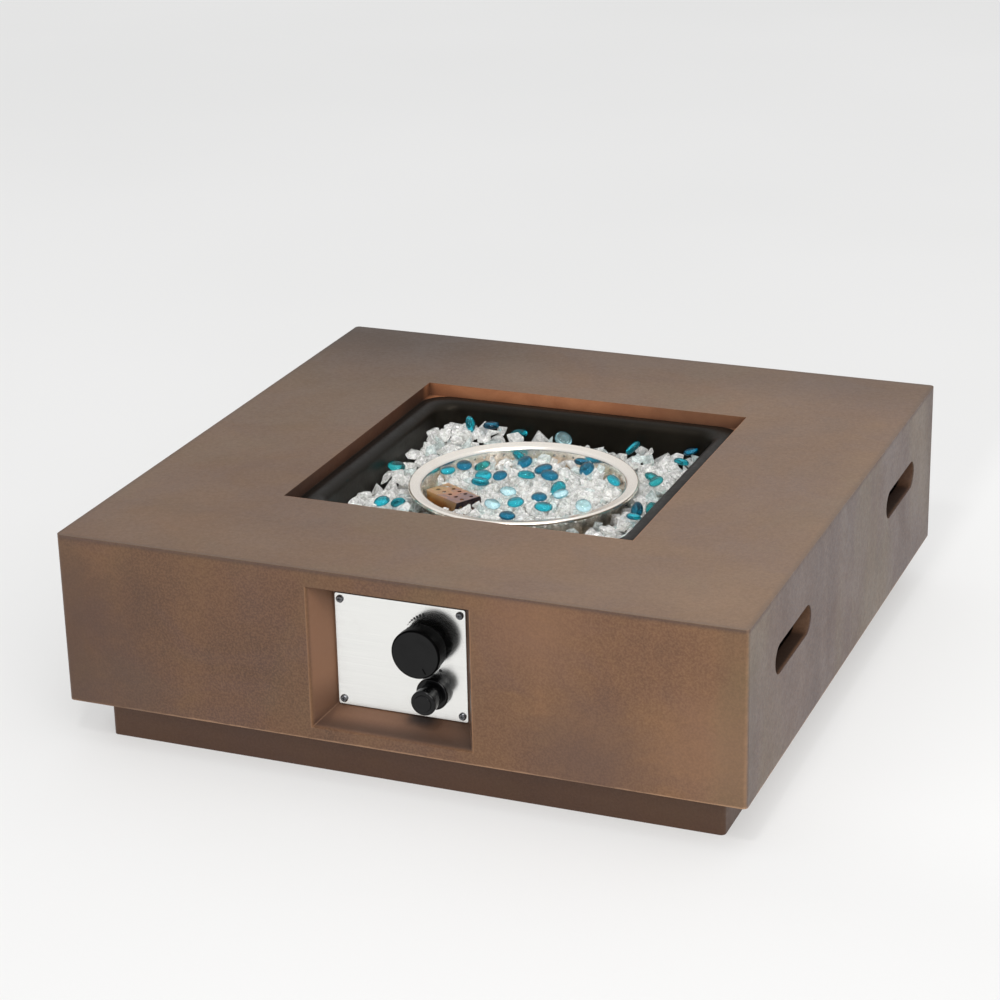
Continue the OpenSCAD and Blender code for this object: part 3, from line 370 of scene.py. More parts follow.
def heat_steel():
    """Thin stainless that the pilot flame has tinted from straw to copper, purple and blue."""
    m = Mat("heat_tinted_steel")
    # u runs along the hood to its open end, v across it
    p = m.axes()
    px, py = m.math("ADD", p[0], 0.0647), m.math("ADD", p[1], 0.0427)
    c, s = math.cos(math.radians(-29)), math.sin(math.radians(-29))
    u = m.math("ADD", m.math("MULTIPLY", px, c), m.math("MULTIPLY", py, s))
    v = m.math("ADD", m.math("MULTIPLY", px, -s), m.math("MULTIPLY", py, c))
    cloud = m.noise(60, 4, 0.6, 0.6)
    blot = m.noise(85, 3, 0.6, 0.8, m.scaled(1, 1, 1, (4, 1, 7)))
    t = m.math("ADD", m.span(u, -0.027, 0.027, 0.1, 0.5), m.math("MULTIPLY", m.math("SUBTRACT", cloud, 0.5), 0.7), clamp=True)
    tint = m.ramp(t, [(0.0, srgb(206, 170, 112)), (0.2, srgb(214, 164, 120)), (0.36, srgb(210, 152, 124)), (0.52, srgb(166, 136, 134)), (0.68, srgb(196, 146, 106)), (0.9, srgb(120, 104, 122))])
    tint = m.mix(m.span(blot, 0.5, 0.66, 0, 0.7), tint, srgb(142, 130, 136))
    # the long edges stay straw and olive
    tint = m.mix(m.span(v, -0.012, -0.0155, 0, 0.75), tint, srgb(150, 122, 74))
    tint = m.mix(m.span(v, 0.0125, 0.0165, 0, 0.6), tint, srgb(216, 172, 120))
    # the open end is blued, with a brown heat line under it
    end = m.span(u, 0.0256, 0.0266, 0, 0.95)
    tint = m.mix(end, tint, m.ramp(m.span(p[2], 0.172, 0.19, 0, 1), [(0.0, srgb(150, 84, 36)), (0.35, srgb(92, 54, 34)), (0.6, srgb(40, 34, 44)), (1.0, srgb(28, 30, 46))]))
    grain = m.noise(1, 3, 0.6, 0, m.scaled(900, 120, 900))
    tint = m.mix(m.span(grain, 0.3, 0.7, 0, 0.2), tint, srgb(120, 96, 70))
    return m.set(Base_Color=tint, Metallic=1.0, Roughness=m.span(cloud, 0.3, 0.7, 0.24, 0.4), Normal=m.bump(grain, 0.00002, 0.4)).mat


def plate_steel():
    """Brushed stainless plate, lines across."""
    m = Mat("brushed_plate_steel")
    lines = m.noise(1, 4, 0.75, 0, m.scaled(9, 40, 1500))
    broad = m.noise(1, 3, 0.6, 0, m.scaled(3, 10, 160))
    prints = m.noise(38, 4, 0.6, 0.6)
    base = m.mix(m.span(lines, 0.25, 0.75, 0, 0.35), srgb(246, 246, 243), srgb(226, 226, 224))
    base = m.mix(m.span(broad, 0.35, 0.7, 0, 0.2), base, srgb(236, 236, 234))
    base = m.mix(m.span(prints, 0.55, 0.8, 0, 0.25), base, srgb(226, 224, 220))
    rough = m.math("ADD", m.span(lines, 0.2, 0.8, 0.15, 0.21), m.span(prints, 0.45, 0.8, 0, 0.05))
    return m.set(Base_Color=base, Metallic=1.0, Roughness=rough, Normal=m.bump(lines, 0.000012, 0.4)).mat


def knob_plastic():
    """Phenolic knob: satin charcoal face, polished black side."""
    m = Mat("knob_phenolic")
    x, y, z = m.axes()
    face = m.span(y, -0.3529, -0.3533, 0, 1)
    skin = m.noise(1100, 2, 0.5)
    dull = m.noise(60, 4, 0.6, 0.4)
    base = m.mix(face, srgb(5, 5, 5), srgb(38, 38, 38))
    base = m.mix(m.span(dull, 0.45, 0.75, 0, 0.2), base, srgb(14, 14, 15))
    base = m.mix(m.math("MULTIPLY", face, m.span(skin, 0.35, 0.7, 0, 0.16)), base, srgb(36, 36, 37))
    rough = m.math("ADD", m.math("MULTIPLY_ADD", face, 0.3, 0.16), m.span(dull, 0.35, 0.75, 0, 0.1))
    m.bsdf.inputs["Specular IOR Level"].default_value = 0.015
    return m.set(Base_Color=base, Roughness=rough, Normal=m.bump(skin, 0.00004, 0.3)).mat


def glass(name, color, milk, rough=0.02, tint=None, depth=0.006, broken=0.0, glow=0.0, edge=None):
    """Fire glass: clear body with some milky scatter from fine cracks; broken glass has small fracture planes.

    glow stands for the light that is caught between the pieces; it fades with depth and under the bowl's lip.
    edge is a painted shade: a darker colour on a bead's rim, where it is seen edge-on.
    """
    m = Mat(name)
    crack = m.noise(160, 4, 0.7, 0.8)
    base = m.mix(m.span(crack, 0.45, 0.75, 0, 0.5), color, tint or tuple(min(1.0, c * 0.9 + 0.08) for c in color))
    if edge:
        # painted shade on a bead's rim
        w = m.nodes.new("ShaderNodeLayerWeight")
        w.inputs["Blend"].default_value = 0.42
        base = m.mix(m.span(w.outputs["Facing"], 0.2, 0.72, 0, 0.94), base, edge)
    if broken:
        skin = m.bump(m.facets(230), 1.0, broken, m.bump(m.noise(240, 2, 0.5), 0.0004, 0.3))
    else:
        skin = m.bump(m.noise(90, 2, 0.5), 0.0004, 0.12)
    m.set(Base_Color=base, Roughness=m.span(crack, 0.4, 0.75, rough, rough + 0.06), Normal=skin)
    m.set(Transmission_Weight=m.span(crack, 0.4, 0.7, 1.0 - milk * 0.6, 1.0 - milk * 1.4), IOR=1.52)
    if edge:
        m.bsdf.inputs["Specular Tint"].default_value = (*(0.4 + 0.6 * c for c in color), 1)
    m.set(Subsurface_Weight=1.0, Subsurface_Radius=Vector((1.0, 1.0, 1.0)), Subsurface_Scale=depth)
    if glow:
        x, y, z = m.axes()
        r = m.math("SQRT", m.math("ADD", m.math("MULTIPLY", x, x), m.math("MULTIPLY", y, y)))
        lit = m.math("MULTIPLY", m.span(z, 0.168, 0.184, 0.1, 1.0), m.span(m.math("ABSOLUTE", m.math("SUBTRACT", r, 0.1145)), 0.007, 0.011, 0.0, 1.0))
        m.set(Emission_Color=base, Emission_Strength=m.math("MULTIPLY", lit, m.span(crack, 0.35, 0.7, glow * 0.5, glow * 1.5)))
    return m.mat


def wrap():
    """Plain sleeve on the dry cell: dark body, copper-coloured band."""
    m = Mat("cell_sleeve")
    x, y, z = m.axes()
    band = m.span(y, -0.3335, -0.3325, 1, 0)
    scuff = m.noise(120, 4, 0.6, 0.3)
    base = m.mix(band, srgb(52, 54, 58), srgb(176, 118, 66))
    base = m.mix(m.span(scuff, 0.52, 0.75, 0, 0.4), base, srgb(120, 118, 114))
    return m.set(Base_Color=base, Metallic=0.4, Roughness=m.span(scuff, 0.3, 0.7, 0.28, 0.42), Normal=m.bump(scuff, 0.00004, 0.3)).mat


MATS = {
    "concrete": concrete(),
    "zinc_steel": metal("zinc_plated_steel", srgb(196, 198, 202), 0.34, (260, 260, 260), tarnish=srgb(176, 172, 150)),
    "black_rubber": plastic("black_grommet_rubber", srgb(24, 24, 24), 0.62, srgb(44, 43, 42)),
    "black_enamel": enamel(),
    "stainless": metal("stainless_steel", srgb(206, 202, 196), 0.3, (700, 90, 700), tarnish=srgb(184, 166, 142)),
    "tinted_steel": heat_steel(),
    "brass": metal("machined_brass", srgb(214, 176, 100), 0.28, (900, 900, 120), tarnish=srgb(150, 116, 62)),
    "die_cast": metal("die_cast_body", srgb(178, 180, 182), 0.48, (800, 800, 800), 0.00008, tarnish=srgb(150, 150, 150)),
    "tube_metal": metal("drawn_tube", srgb(206, 208, 210), 0.32, (90, 90, 900), tarnish=srgb(176, 176, 174)),
    "copper": metal("drawn_copper", srgb(204, 138, 100), 0.32, (500, 120, 500), tarnish=srgb(132, 84, 58)),
    "silicone_lead": plastic("red_silicone", srgb(136, 36, 30), 0.5, srgb(152, 60, 52)),
    "ceramic_white": plastic("alumina_ceramic", srgb(236, 232, 222), 0.4, srgb(214, 204, 186), 700),
    "spring_steel": metal("spring_wire", srgb(170, 170, 172), 0.3, (1500, 300, 1500), tarnish=srgb(120, 116, 110)),
    "black_screw": metal("dark_plated_screw", srgb(120, 121, 124), 0.32, (700, 700, 700), tarnish=srgb(70, 70, 72)),
    "dial_ink": plastic("printed_ink", srgb(22, 22, 23), 0.55, srgb(46, 46, 47)),
    "knob_plastic": knob_plastic(),
    "igniter_plastic": plastic("igniter_plastic", srgb(10, 10, 11), 0.12, srgb(20, 20, 21), 1000, 0.00002, 0.08, 0.26),
    "cell_wrap": wrap(),
    "potting": plastic("potting_resin", srgb(42, 42, 44), 0.45, srgb(58, 57, 56), 500),
    "seal_rubber": plastic("seal_rubber", srgb(30, 30, 31), 0.6, srgb(50, 49, 48)),
    "fire_glass": glass("clear_fire_glass", (1.0, 0.99, 0.95), 0.34, broken=0.4, glow=0.082),
}
BOWL_STEEL, PLATE_STEEL = bowl_steel(), plate_steel()
ICE = glass("ice_aqua_fire_glass", (0.86, 0.96, 0.93), 0.32, broken=0.4, glow=0.068)
BEADS = [
    glass("cobalt_bead", (0.01, 0.2, 0.33), 0.02, 0.005, (0.02, 0.28, 0.42), glow=0.035, edge=(0.0, 0.02, 0.04)),
    glass("turquoise_bead", (0.02, 0.46, 0.56), 0.02, 0.005, (0.05, 0.55, 0.65), glow=0.05, edge=(0.0, 0.05, 0.08)),
    glass("teal_bead", (0.03, 0.4, 0.42), 0.02, 0.005, (0.05, 0.48, 0.49), glow=0.045, edge=(0.0, 0.05, 0.058)),
    glass("sky_bead", (0.58, 0.86, 0.9), 0.02, 0.005, (0.66, 0.9, 0.93), glow=0.075, edge=(0.05, 0.22, 0.29)),
]


# ---------------------------------------------------------------- pieces


def piece(name, mesh, mat, node, also=()):
    """A new mesh that stands for a CAD node and rides on that node's body."""
    o = bpy.data.objects.new(name, mesh)
    scene.collection.objects.link(o)
    mesh.materials.clear()
    mesh.materials.append(mat)
    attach(o, body_of[node])
    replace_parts(o, node, *also)
    return o


def to_mesh(name, bm):
    mesh = bpy.data.meshes.new(name)
    bm.normal_update()
    bm.to_mesh(mesh)
    bm.free()
    return mesh


def smooth(mesh, angle):
    mesh.shade_smooth()
    mesh.set_sharp_from_angle(angle=math.radians(angle))


def whole(node):
    """The node's shape as a bmesh with its seams joined and flat areas as single faces."""
    bm = bmesh.new()
    bm.from_mesh(nodes[node].data)
    bmesh.ops.remove_doubles(bm, verts=bm.verts, dist=2e-6)
    bmesh.ops.dissolve_limit(bm, angle_limit=math.radians(0.4), verts=bm.verts, edges=bm.edges)
    return bm


def eased(node, name, mat, width_of, segments=3, most=0.005, angle=28):
    """The node with its edges rounded: width_of(edge) gives each edge's radius in metres."""
    bm = whole(node)
    layer = bm.edges.layers.float.new("bevel_weight_edge")
    for e in bm.edges:
        if len(e.link_faces) == 2 and e.calc_face_angle(0) > math.radians(angle):
            e[layer] = min(1.0, width_of(e) / most)
    mesh = to_mesh(name, bm)
    o = bpy.data.objects.new(name, mesh)
    scene.collection.objects.link(o)
    b = o.modifiers.new("ease", "BEVEL")
    b.limit_method = "WEIGHT"
    b.width = most
    b.segments = segments
    b.use_clamp_overlap = True
    b.miter_outer = "MITER_ARC"
    bpy.context.view_layer.update()
    done = bpy.data.meshes.new_from_object(o.evaluated_get(bpy.context.evaluated_depsgraph_get()))
    bpy.data.objects.remove(o)
    done.name = name
    smooth(done, 32)
    p = piece(name, done, mat, node)
    w = p.modifiers.new("normals", "WEIGHTED_NORMAL")
    w.keep_sharp = True
    return p


def edge_mid(e):
    return (e.verts[0].co + e.verts[1].co) / 2


def convex(e):
    return e.is_convex


# ---------------------------------------------------------------- concrete


def shell_edge(e):
    c = edge_mid(e)
    side = max(abs(c.x), abs(c.y))
    if not convex(e):
        if abs(c.x) < 0.09 and c.y < -0.32:
            return 0.0032
        return 0.0015 if c.z > 0.2 else 0.001
    if side > 0.348:
        if c.z < 0.053:
            return 0.006
        if c.z > 0.222:
            return 0.0042
        if abs(c.x) < 0.1 and c.y < -0.35:
            return 0.004
        if abs(c.x) > 0.35 and abs(c.z - 0.156) < 0.02:
            return 0.0028
        return 0.007
    if c.z > 0.2 and side < 0.19:
        return 0.0026
    return 0.0012


shell = eased("table_shell", "concrete_body", MATS["concrete"], shell_edge, 4, 0.007)
plinth = eased("plinth", "concrete_plinth", MATS["concrete"], lambda e: 0.003 if convex(e) else 0.0008, 3)


# ---------------------------------------------------------------- pan


def rounded_ring(half, r, z, n=14, straight=10):
    """Points of a rounded square, the same count for every size."""
    pts = []
    for k in range(4):
        a0 = k * math.pi / 2
        cx, cy = (half - r) * (1 if k in (0, 3) else -1), (half - r) * (1 if k in (0, 1) else -1)
        for i in range(n + 1):
            a = a0 + (math.pi / 2) * i / n
            pts.append(Vector((cx + r * math.cos(a), cy + r * math.sin(a), z)))
        nx = Vector((cx + r * math.cos(a0 + math.pi / 2), cy + r * math.sin(a0 + math.pi / 2), z))
        k2 = (k + 1) % 4
        cx2, cy2 = (half - r) * (1 if k2 in (0, 3) else -1), (half - r) * (1 if k2 in (0, 1) else -1)
        end = Vector((cx2 + r * math.cos(k2 * math.pi / 2), cy2 + r * math.sin(k2 * math.pi / 2), z))
        for i in range(1, straight):
            pts.append(nx.lerp(end, i / straight))
    return pts


def holed_floor(bm, loop, holes, z, up):
    """A flat floor inside a loop of existing vertices, with round holes. Returns the holes' vertex loops."""
    pts = [v.co.to_2d() for v in loop]
    edges = [(i, (i + 1) % len(pts)) for i in range(len(pts))]
    rings = []
    for cx, cy, r, n in holes:
        first = len(pts)
        pts += [Vector((cx + r * math.cos(2 * math.pi * i / n), cy + r * math.sin(2 * math.pi * i / n))) for i in range(n)]
        edges += [(first + i, first + (i + 1) % n) for i in range(n)]
        rings.append(range(first, first + n))
    verts, _, faces, orig, _, _ = delaunay_2d_cdt(pts, edges, [], 5, 1e-7)
    made = []
    for i, v in enumerate(verts):
        src = orig[i][0] if orig[i] else None
        made.append(loop[src] if src is not None and src < len(loop) else bm.verts.new((v.x, v.y, z)))
    where = {o: made[i] for i, os in enumerate(orig) for o in os}
    for f in faces:
        vs = [made[i] for i in (f if up else reversed(f))]
        bm.faces.new(vs)
    return [[where[i] for i in ring] for ring in rings]


def make_pan():
    lo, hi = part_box("burner_pan")
    z0, rim, t = lo.z, hi.z, 0.0015
    a, r = 0.162, 0.0245  # inside of the wall
    # inner face from the floor up, then the rolled rim and down its outer edge, then back underneath
    path = [(-0.004, z0 + t)]
    path += [(-0.004 + 0.004 * math.sin(q), z0 + t + 0.004 - 0.004 * math.cos(q)) for q in np.linspace(0.2, math.pi / 2, 5)]
    path += [(0, z0 + 0.03), (0, z0 + 0.055), (0.0002, rim - 0.0075), (0.0009, rim - 0.0042), (0.0024, rim - 0.0018), (0.0046, rim - 0.0002)]
    path += [(0.0075, rim + 0.0009), (0.0112, rim + 0.0014), (0.0148, rim + 0.0011), (0.018, rim + 0.0002), (0.0207, rim - 0.0004), (0.0226, rim - 0.0003), (0.0238, rim - 0.0006), (0.0241, rim - 0.0011), (0.0239, rim - 0.00145)]
    path += [(0.0226, rim - 0.0015), (0.0207, rim - 0.0015), (0.0175, rim - 0.0014), (0.014, rim - 0.0006), (0.0105, rim - 0.0002), (0.0075, rim - 0.0009), (0.005, rim - 0.0023), (0.0032, rim - 0.005), (0.0022, rim - 0.009), (0.0015, rim - 0.0135)]
    path += [(0.0015, z0 + 0.055), (0.0015, z0 + 0.03)]
    path += [(-0.004 + 0.0055 * math.sin(q), z0 + 0.0055 - 0.0055 * math.cos(q)) for q in np.linspace(math.pi / 2, 0.2, 5)]
    path += [(-0.004, z0)]
    bm = bmesh.new()
    rings = []
    for d, z in path:
        rr = max(0.004, r + d * (0.145 if d > 0 else 1.0))
        rings.append([bm.verts.new(p) for p in rounded_ring(a + d, rr, z)])
    for p, q in zip(rings, rings[1:]):
        n = len(p)
        for i in range(n):
            bm.faces.new((p[i], p[(i + 1) % n], q[(i + 1) % n], q[i]))
    ca, sa = math.cos(math.radians(-29)), math.sin(math.radians(-29))
    holes = [(0, 0, 0.0104, 32)]
    holes += [(x, y, 0.004, 16) for x in (-0.13, 0, 0.13) for y in (-0.13, 0, 0.13) if x or y]
    for u, hr in ((-0.006, 0.0045), (0.006, 0.0045), (-0.015, 0.00205), (0.015, 0.00205)):
        holes.append((-0.0647 + u * ca, -0.0427 + u * sa, hr, 14))
    holes = merge_holes(holes)
    top = holed_floor(bm, rings[0], holes, z0 + t, True)
    low = holed_floor(bm, rings[-1], holes, z0, False)
    for p, q in zip(top, low):
        n = len(p)
        for i in range(n):
            bm.faces.new((p[(i + 1) % n], p[i], q[i], q[(i + 1) % n]))
    bmesh.ops.recalc_face_normals(bm, faces=bm.faces)
    mesh = to_mesh("fire_pan", bm)
    smooth(mesh, 40)
    return piece("fire_pan", mesh, MATS["black_enamel"], "burner_pan")


def merge_holes(holes):
    """Leaves out holes that cut into an earlier one."""
    kept = []
    for h in holes:
        if all(math.hypot(h[0] - k[0], h[1] - k[1]) > h[2] + k[2] + 0.0004 for k in kept):
            kept.append(h)
    return kept


make_pan()


# ---------------------------------------------------------------- fire glass

RNG = np.random.default_rng(20711)


def hull_of(points):
    """Convex hull as (vertices, faces), flat faces joined."""
    bm = bmesh.new()
    for p in points:
        bm.verts.new(p)
    got = bmesh.ops.convex_hull(bm, input=bm.verts)
    bmesh.ops.delete(bm, geom=list({v for v in got["geom_unused"] + got["geom_interior"] if isinstance(v, bmesh.types.BMVert)}), context="VERTS")
    bmesh.ops.dissolve_limit(bm, angle_limit=math.radians(9), verts=bm.verts, edges=bm.edges)
    return bm


def arrays(bm):
    bm.verts.index_update()
    v = np.array([p.co[:] for p in bm.verts])
    f = [[p.index for p in face.verts] for face in bm.faces]
    bm.free()
    return v, f


def planes_of(v, f):
    """Outward unit normals and offsets of a convex shape's faces."""
    mid = v.mean(0)
    out = []
    for face in f:
        p = v[face]
        n = np.zeros(3)
        for i in range(len(p)):
            a, b = p[i], p[(i + 1) % len(p)]
            n += np.cross(a, b)
        length = np.linalg.norm(n)
        if length < 1e-12:
            continue
        n /= length
        d = float((p @ n).mean())
        if n @ mid > d:
            n, d = -n, -d
        out.append((*n, d))
    return np.array(out)


def chunk():
    """Broken glass: a few flat fracture faces, with the arrises taken off by tumbling."""
    n = RNG.integers(8, 13)
    p = RNG.normal(size=(n, 3))
    p /= np.linalg.norm(p, axis=1)[:, None]
    p *= RNG.uniform(0.7, 1.12, size=(n, 1))
    p *= np.array([1.0, RNG.uniform(0.58, 0.92), RNG.uniform(0.45, 0.78)])
    core = arrays(hull_of(p))
    planes = planes_of(*core)
    bm = hull_of(p)
    bmesh.ops.bevel(bm, geom=list(bm.edges), offset=0.07, segments=2, profile=0.6, affect="EDGES", clamp_overlap=True)
    bmesh.ops.triangulate(bm, faces=[x for x in bm.faces if len(x.verts) > 4])
    return (*arrays(bm), planes)


def bead():
    """Flattened drop: domed above, nearly flat below."""
    rings, seg = 7, 16
    v, f = [], []
    h = RNG.uniform(0.44, 0.56)
    squash = RNG.uniform(0.9, 1.0)
    for i in range(1, rings):
        q = math.pi * i / rings
        r, z = math.sin(q) ** 0.85, math.cos(q)
        z = z * h if z > 0 else z * h * 0.72
        for j in range(seg):
            a = 2 * math.pi * j / seg
            v.append((r * math.cos(a), squash * r * math.sin(a), z))
    v += [(0, 0, h), (0, 0, -h * 0.72)]
    for i in range(rings - 2):
        for j in range(seg):
            a, b = i * seg + j, i * seg + (j + 1) % seg
            f.append([a, a + seg, b + seg, b])
    last = (rings - 2) * seg
    for j in range(seg):
        f.append([len(v) - 2, j, (j + 1) % seg])
        f.append([len(v) - 1, last + (j + 1) % seg, last + j])
    v = np.array(v)
    return v, f, planes_of(v, f)


CHUNKS = [chunk() for _ in range(36)]
DROPS = [bead() for _ in range(5)]


def turn(flat):
    """A random rotation; flat pieces mostly lie near level."""
    if flat and RNG.random() < 0.75:
        tilt = RNG.normal(0, 0.55)
        axis = RNG.uniform(0, 2 * math.pi)
        m = Matrix.Rotation(tilt, 3, Vector((math.cos(axis), math.sin(axis), 0))) @ Matrix.Rotation(RNG.uniform(0, 6.283), 3, "Z")
        return np.array(m)
    q = RNG.normal(size=4)
    q /= np.linalg.norm(q)
    w, x, y, z = q
    return np.array([[1 - 2 * (y * y + z * z), 2 * (x * y - z * w), 2 * (x * z + y * w)], [2 * (x * y + z * w), 1 - 2 * (x * x + z * z), 2 * (y * z - x * w)], [2 * (x * z - y * w), 2 * (y * z + x * w), 1 - 2 * (x * x + y * y)]])


STEP = 1.5  # mm, grid that the pieces are dropped on
SPAN = 168.0
AXIS = np.arange(-SPAN, SPAN + STEP / 2, STEP)
GX, GY = np.meshgrid(AXIS, AXIS, indexing="ij")
GR = np.hypot(GX, GY)


def rounded_inside(half, r):
    q = np.maximum(np.maximum(np.abs(GX) - (half - r), 0), 0), np.maximum(np.abs(GY) - (half - r), 0)
    return (np.hypot(q[0], q[1]) < r) & (np.abs(GX) < half) & (np.abs(GY) < half)


def settle(height, roof, want, is_bead, size, cells):
    """Tries a piece at each of the cells and returns the one that comes to rest lowest."""
    best = None
    lie = turn(True)
    for c in cells:
        i, j = divmod(int(c), height.shape[1])
        shapes = DROPS if is_bead else CHUNKS
        k = RNG.integers(len(shapes))
        scale = RNG.uniform(*size)
        planes = shapes[k][2]
        rot = lie if is_bead else turn(False)
        n = planes[:, :3] @ rot.T
        d = planes[:, 3] * scale
        x, y = AXIS[i] + RNG.uniform(-0.5, 0.5) * STEP, AXIS[j] + RNG.uniform(-0.5, 0.5) * STEP
        w = int(scale * 1.15 / STEP) + 1
        i0, i1, j0, j1 = max(i - w, 0), min(i + w + 1, len(AXIS)), max(j - w, 0), min(j + w + 1, len(AXIS))
        gx, gy = GX[i0:i1, j0:j1] - x, GY[i0:i1, j0:j1] - y
        up, dn, flat = n[:, 2] > 0.02, n[:, 2] < -0.02, np.abs(n[:, 2]) <= 0.02
        rest = d[:, None, None] - n[:, 0, None, None] * gx - n[:, 1, None, None] * gy
        hi = (rest[up] / n[up, 2, None, None]).min(0)
        lo = (rest[dn] / n[dn, 2, None, None]).max(0)
        inside = hi > lo
        if flat.any():
            inside &= (rest[flat] > 0).all(0)
        if not inside.any():
            continue
        z = (height[i0:i1, j0:j1] - lo)[inside].max() + 0.05
        if z > 900:
            continue
        tops = z + hi[inside]
        if (tops > roof[i0:i1, j0:j1][inside]).any():
            continue
        over = (tops - want[i0:i1, j0:j1][inside]).max()
        if over > 7.5:
            continue
        score = z + 0.3 * max(over, 0)
        if best is None or score < best[0]:
            best = (score, k, scale, rot, (x, y, z), (i0, i1, j0, j1), inside, z + hi)
    return best


def fill(ground, roof, want, size, limit, beads):
    """Drops pieces one by one on the ground grid (mm) until it reaches want, under roof, then beads on top.

    Each piece comes down until it touches what lies below, so none cuts into another.
    Returns (is_bead, index, scale, rotation, position) for each piece.
    """
    placed, missed = [], 0
    height = ground.copy()

    def lay(is_bead, best):
        _, k, scale, rot, pos, (i0, i1, j0, j1), inside, tops = best
        area = height[i0:i1, j0:j1]
        area[inside] = tops[inside]
        placed.append((is_bead, k, scale, rot, pos))

    while missed < limit:
        need = np.where(height < 900, want - height, 0)
        need[need < 4] = 0
        total = need.sum()
        if total <= 0:
            break
        best = settle(height, roof, want, False, size, RNG.choice(need.size, size=6, p=(need / total).ravel()))
        if best is None:
            missed += 1
        else:
            lay(False, best)
    open_cells = np.flatnonzero((height < 900).ravel())
    done, tries = 0, 0
    while done < beads and tries < beads * 20:
        tries += 1
        spot = int(RNG.choice(open_cells))
        i, j = divmod(spot, height.shape[1])
        around = [min(max(i + di, 0), height.shape[0] - 1) * height.shape[1] + min(max(j + dj, 0), height.shape[1] - 1) for di, dj in RNG.integers(-8, 9, size=(14, 2))]
        best = settle(height, roof, want + 6.0, True, (8.6, 11.2), [spot, *around])
        if best is not None:
            lay(True, best)
            done += 1
    return placed


def glass_mesh(name, items, flat):
    verts, faces, base = [], [], 0
    for is_bead, k, scale, rot, pos in items:
        v, f, _ = (DROPS if is_bead else CHUNKS)[k]
        p = (v * scale) @ rot.T + np.array(pos)
        verts.append(p * MM)
        faces += [[i + base for i in face] for face in f]
        base += len(v)
    mesh = bpy.data.meshes.new(name)
    mesh.from_pydata(np.concatenate(verts).tolist(), [], faces)
    mesh.validate()
    if flat:
        smooth(mesh, 32)
    else:
        mesh.shade_smooth()
    return mesh


def bed(prefix, node, placed):
    """Sorts the placed pieces by kind of glass and makes one object of each."""
    kinds = {}
    for item in placed:
        if item[0]:
            key = int(RNG.choice(4, p=(0.21, 0.4, 0.25, 0.14)))
        else:
            key = "ice" if RNG.random() < 0.16 else "clear"
        kinds.setdefault(key, []).append(item)
    for key in ("clear", "ice", 0, 1, 2, 3):
        if key not in kinds:
            continue
        label = key if isinstance(key, str) else ("cobalt", "turquoise", "teal", "sky")[key] + "_beads"
        mat = {"clear": MATS["fire_glass"], "ice": ICE}.get(key) if isinstance(key, str) else BEADS[key]
        piece(f"{prefix}_{label}", glass_mesh(f"{prefix}_{label}", kinds[key], isinstance(key, str)), mat, node)


def bump_at(x, y, r):
    return np.exp(-((GX - x) ** 2 + (GY - y) ** 2) / (2 * r * r))


pan_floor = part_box("burner_pan")[0].z / MM + 1.5
bowl_lo, bowl_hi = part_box("burner_bowl")
hood_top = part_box("pilot_hood")[1].z / MM

outside = np.where(rounded_inside(161.2, 23.8) & (GR > 111.2), pan_floor + 0.3, 1000.0)
roof = np.where(GR < 123.5, 192.4, 999.0)
want = 184.5 + 5 * bump_at(-140, 0, 60) + 15 * bump_at(-128, 118, 34) + 5 * bump_at(-60, 146, 40) + 3 * bump_at(80, 148, 50) + 5 * bump_at(135, 60, 45) + 4 * bump_at(-140, -110, 40)
bed("outer_glass", "fire_glass_outer", fill(outside, roof, want, (8.5, 18.5), 160, 27))

CA, SA = math.cos(math.radians(-29)), math.sin(math.radians(-29))
PU = (GX + 64.7) * CA + (GY + 42.7) * SA
PV = -(GX + 64.7) * SA + (GY + 42.7) * CA
# the bowl's wall leans outwards, so a piece beside it lies higher
wall = 136.2 + (GR + 1.0 - 100.47) / 0.1287
within = np.where(GR < 105.4, np.maximum(bowl_lo.z / MM + 1.5, wall), 1000.0)
ring_h = np.sqrt(np.maximum(0, 9.0**2 - (GR - 40) ** 2))
within = np.where((np.abs(GR - 40) < 9.0) & (within < 900), 149.7 + ring_h, within)
within = np.where(GR < 15, 160.5, within)
for q in range(4):
    spoke = np.abs((GY, GX)[q % 2]) < 6.5
    within = np.where(spoke & (GR < 40) & (within < 157), 156.5, within)
within = np.where((PU > -60) & (PU < 28.5) & (np.abs(PV) < 20.0), 1000.0, within)
want_in = 184.5 + 4.5 * bump_at(55, 5, 45) + 3 * bump_at(15, 60, 40) + 2 * bump_at(0, -60, 40)
bed("bowl_glass", "fire_glass_inner", fill(within, np.where(GR > 100, 196.0, 999.0), want_in, (7.0, 15.0), 160, 23))


# ---------------------------------------------------------------- control panel and other CAD nodes


def tidy(node, width, mat=None, segments=2, angle=28, name=None):
    return eased(node, name or "eased_" + node, mat or MATS[slot_of[node]], lambda e: width, segments, width, angle)


tidy("control_plate", 0.0004, PLATE_STEEL)
tidy("control_knob", 0.0005)
tidy("igniter_lock_ring", 0.0005)
tidy("igniter_cap", 0.0004)
tidy("igniter_button", 0.0004)
tidy("plate_screws", 0.00025)
tidy("pilot_hood", 0.0003)
tidy("hood_screws", 0.0002)


def sprung(node):
    """The node's coil, copied as a fixed mesh in the node's place."""
    mesh = nodes[node].data.copy()
    mesh.name = "coil_" + node
    o = bpy.data.objects.new(mesh.name, mesh)
    scene.collection.objects.link(o)
    mesh.materials.clear()
    mesh.materials.append(MATS[slot_of[node]])
    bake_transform(o)
    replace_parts(o, node)


sprung("spindle_spring")
sprung("igniter_spring")

shown = {n for o in bpy.data.objects for n in o.get("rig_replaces", [])}
for n, o in nodes.items():
    if n in shown:
        continue
    mat = BOWL_STEEL if n == "burner_bowl" else MATS[slot_of[n]]
    o.data.materials.clear()
    o.data.materials.append(mat)


# ---------------------------------------------------------------- stage, light and camera


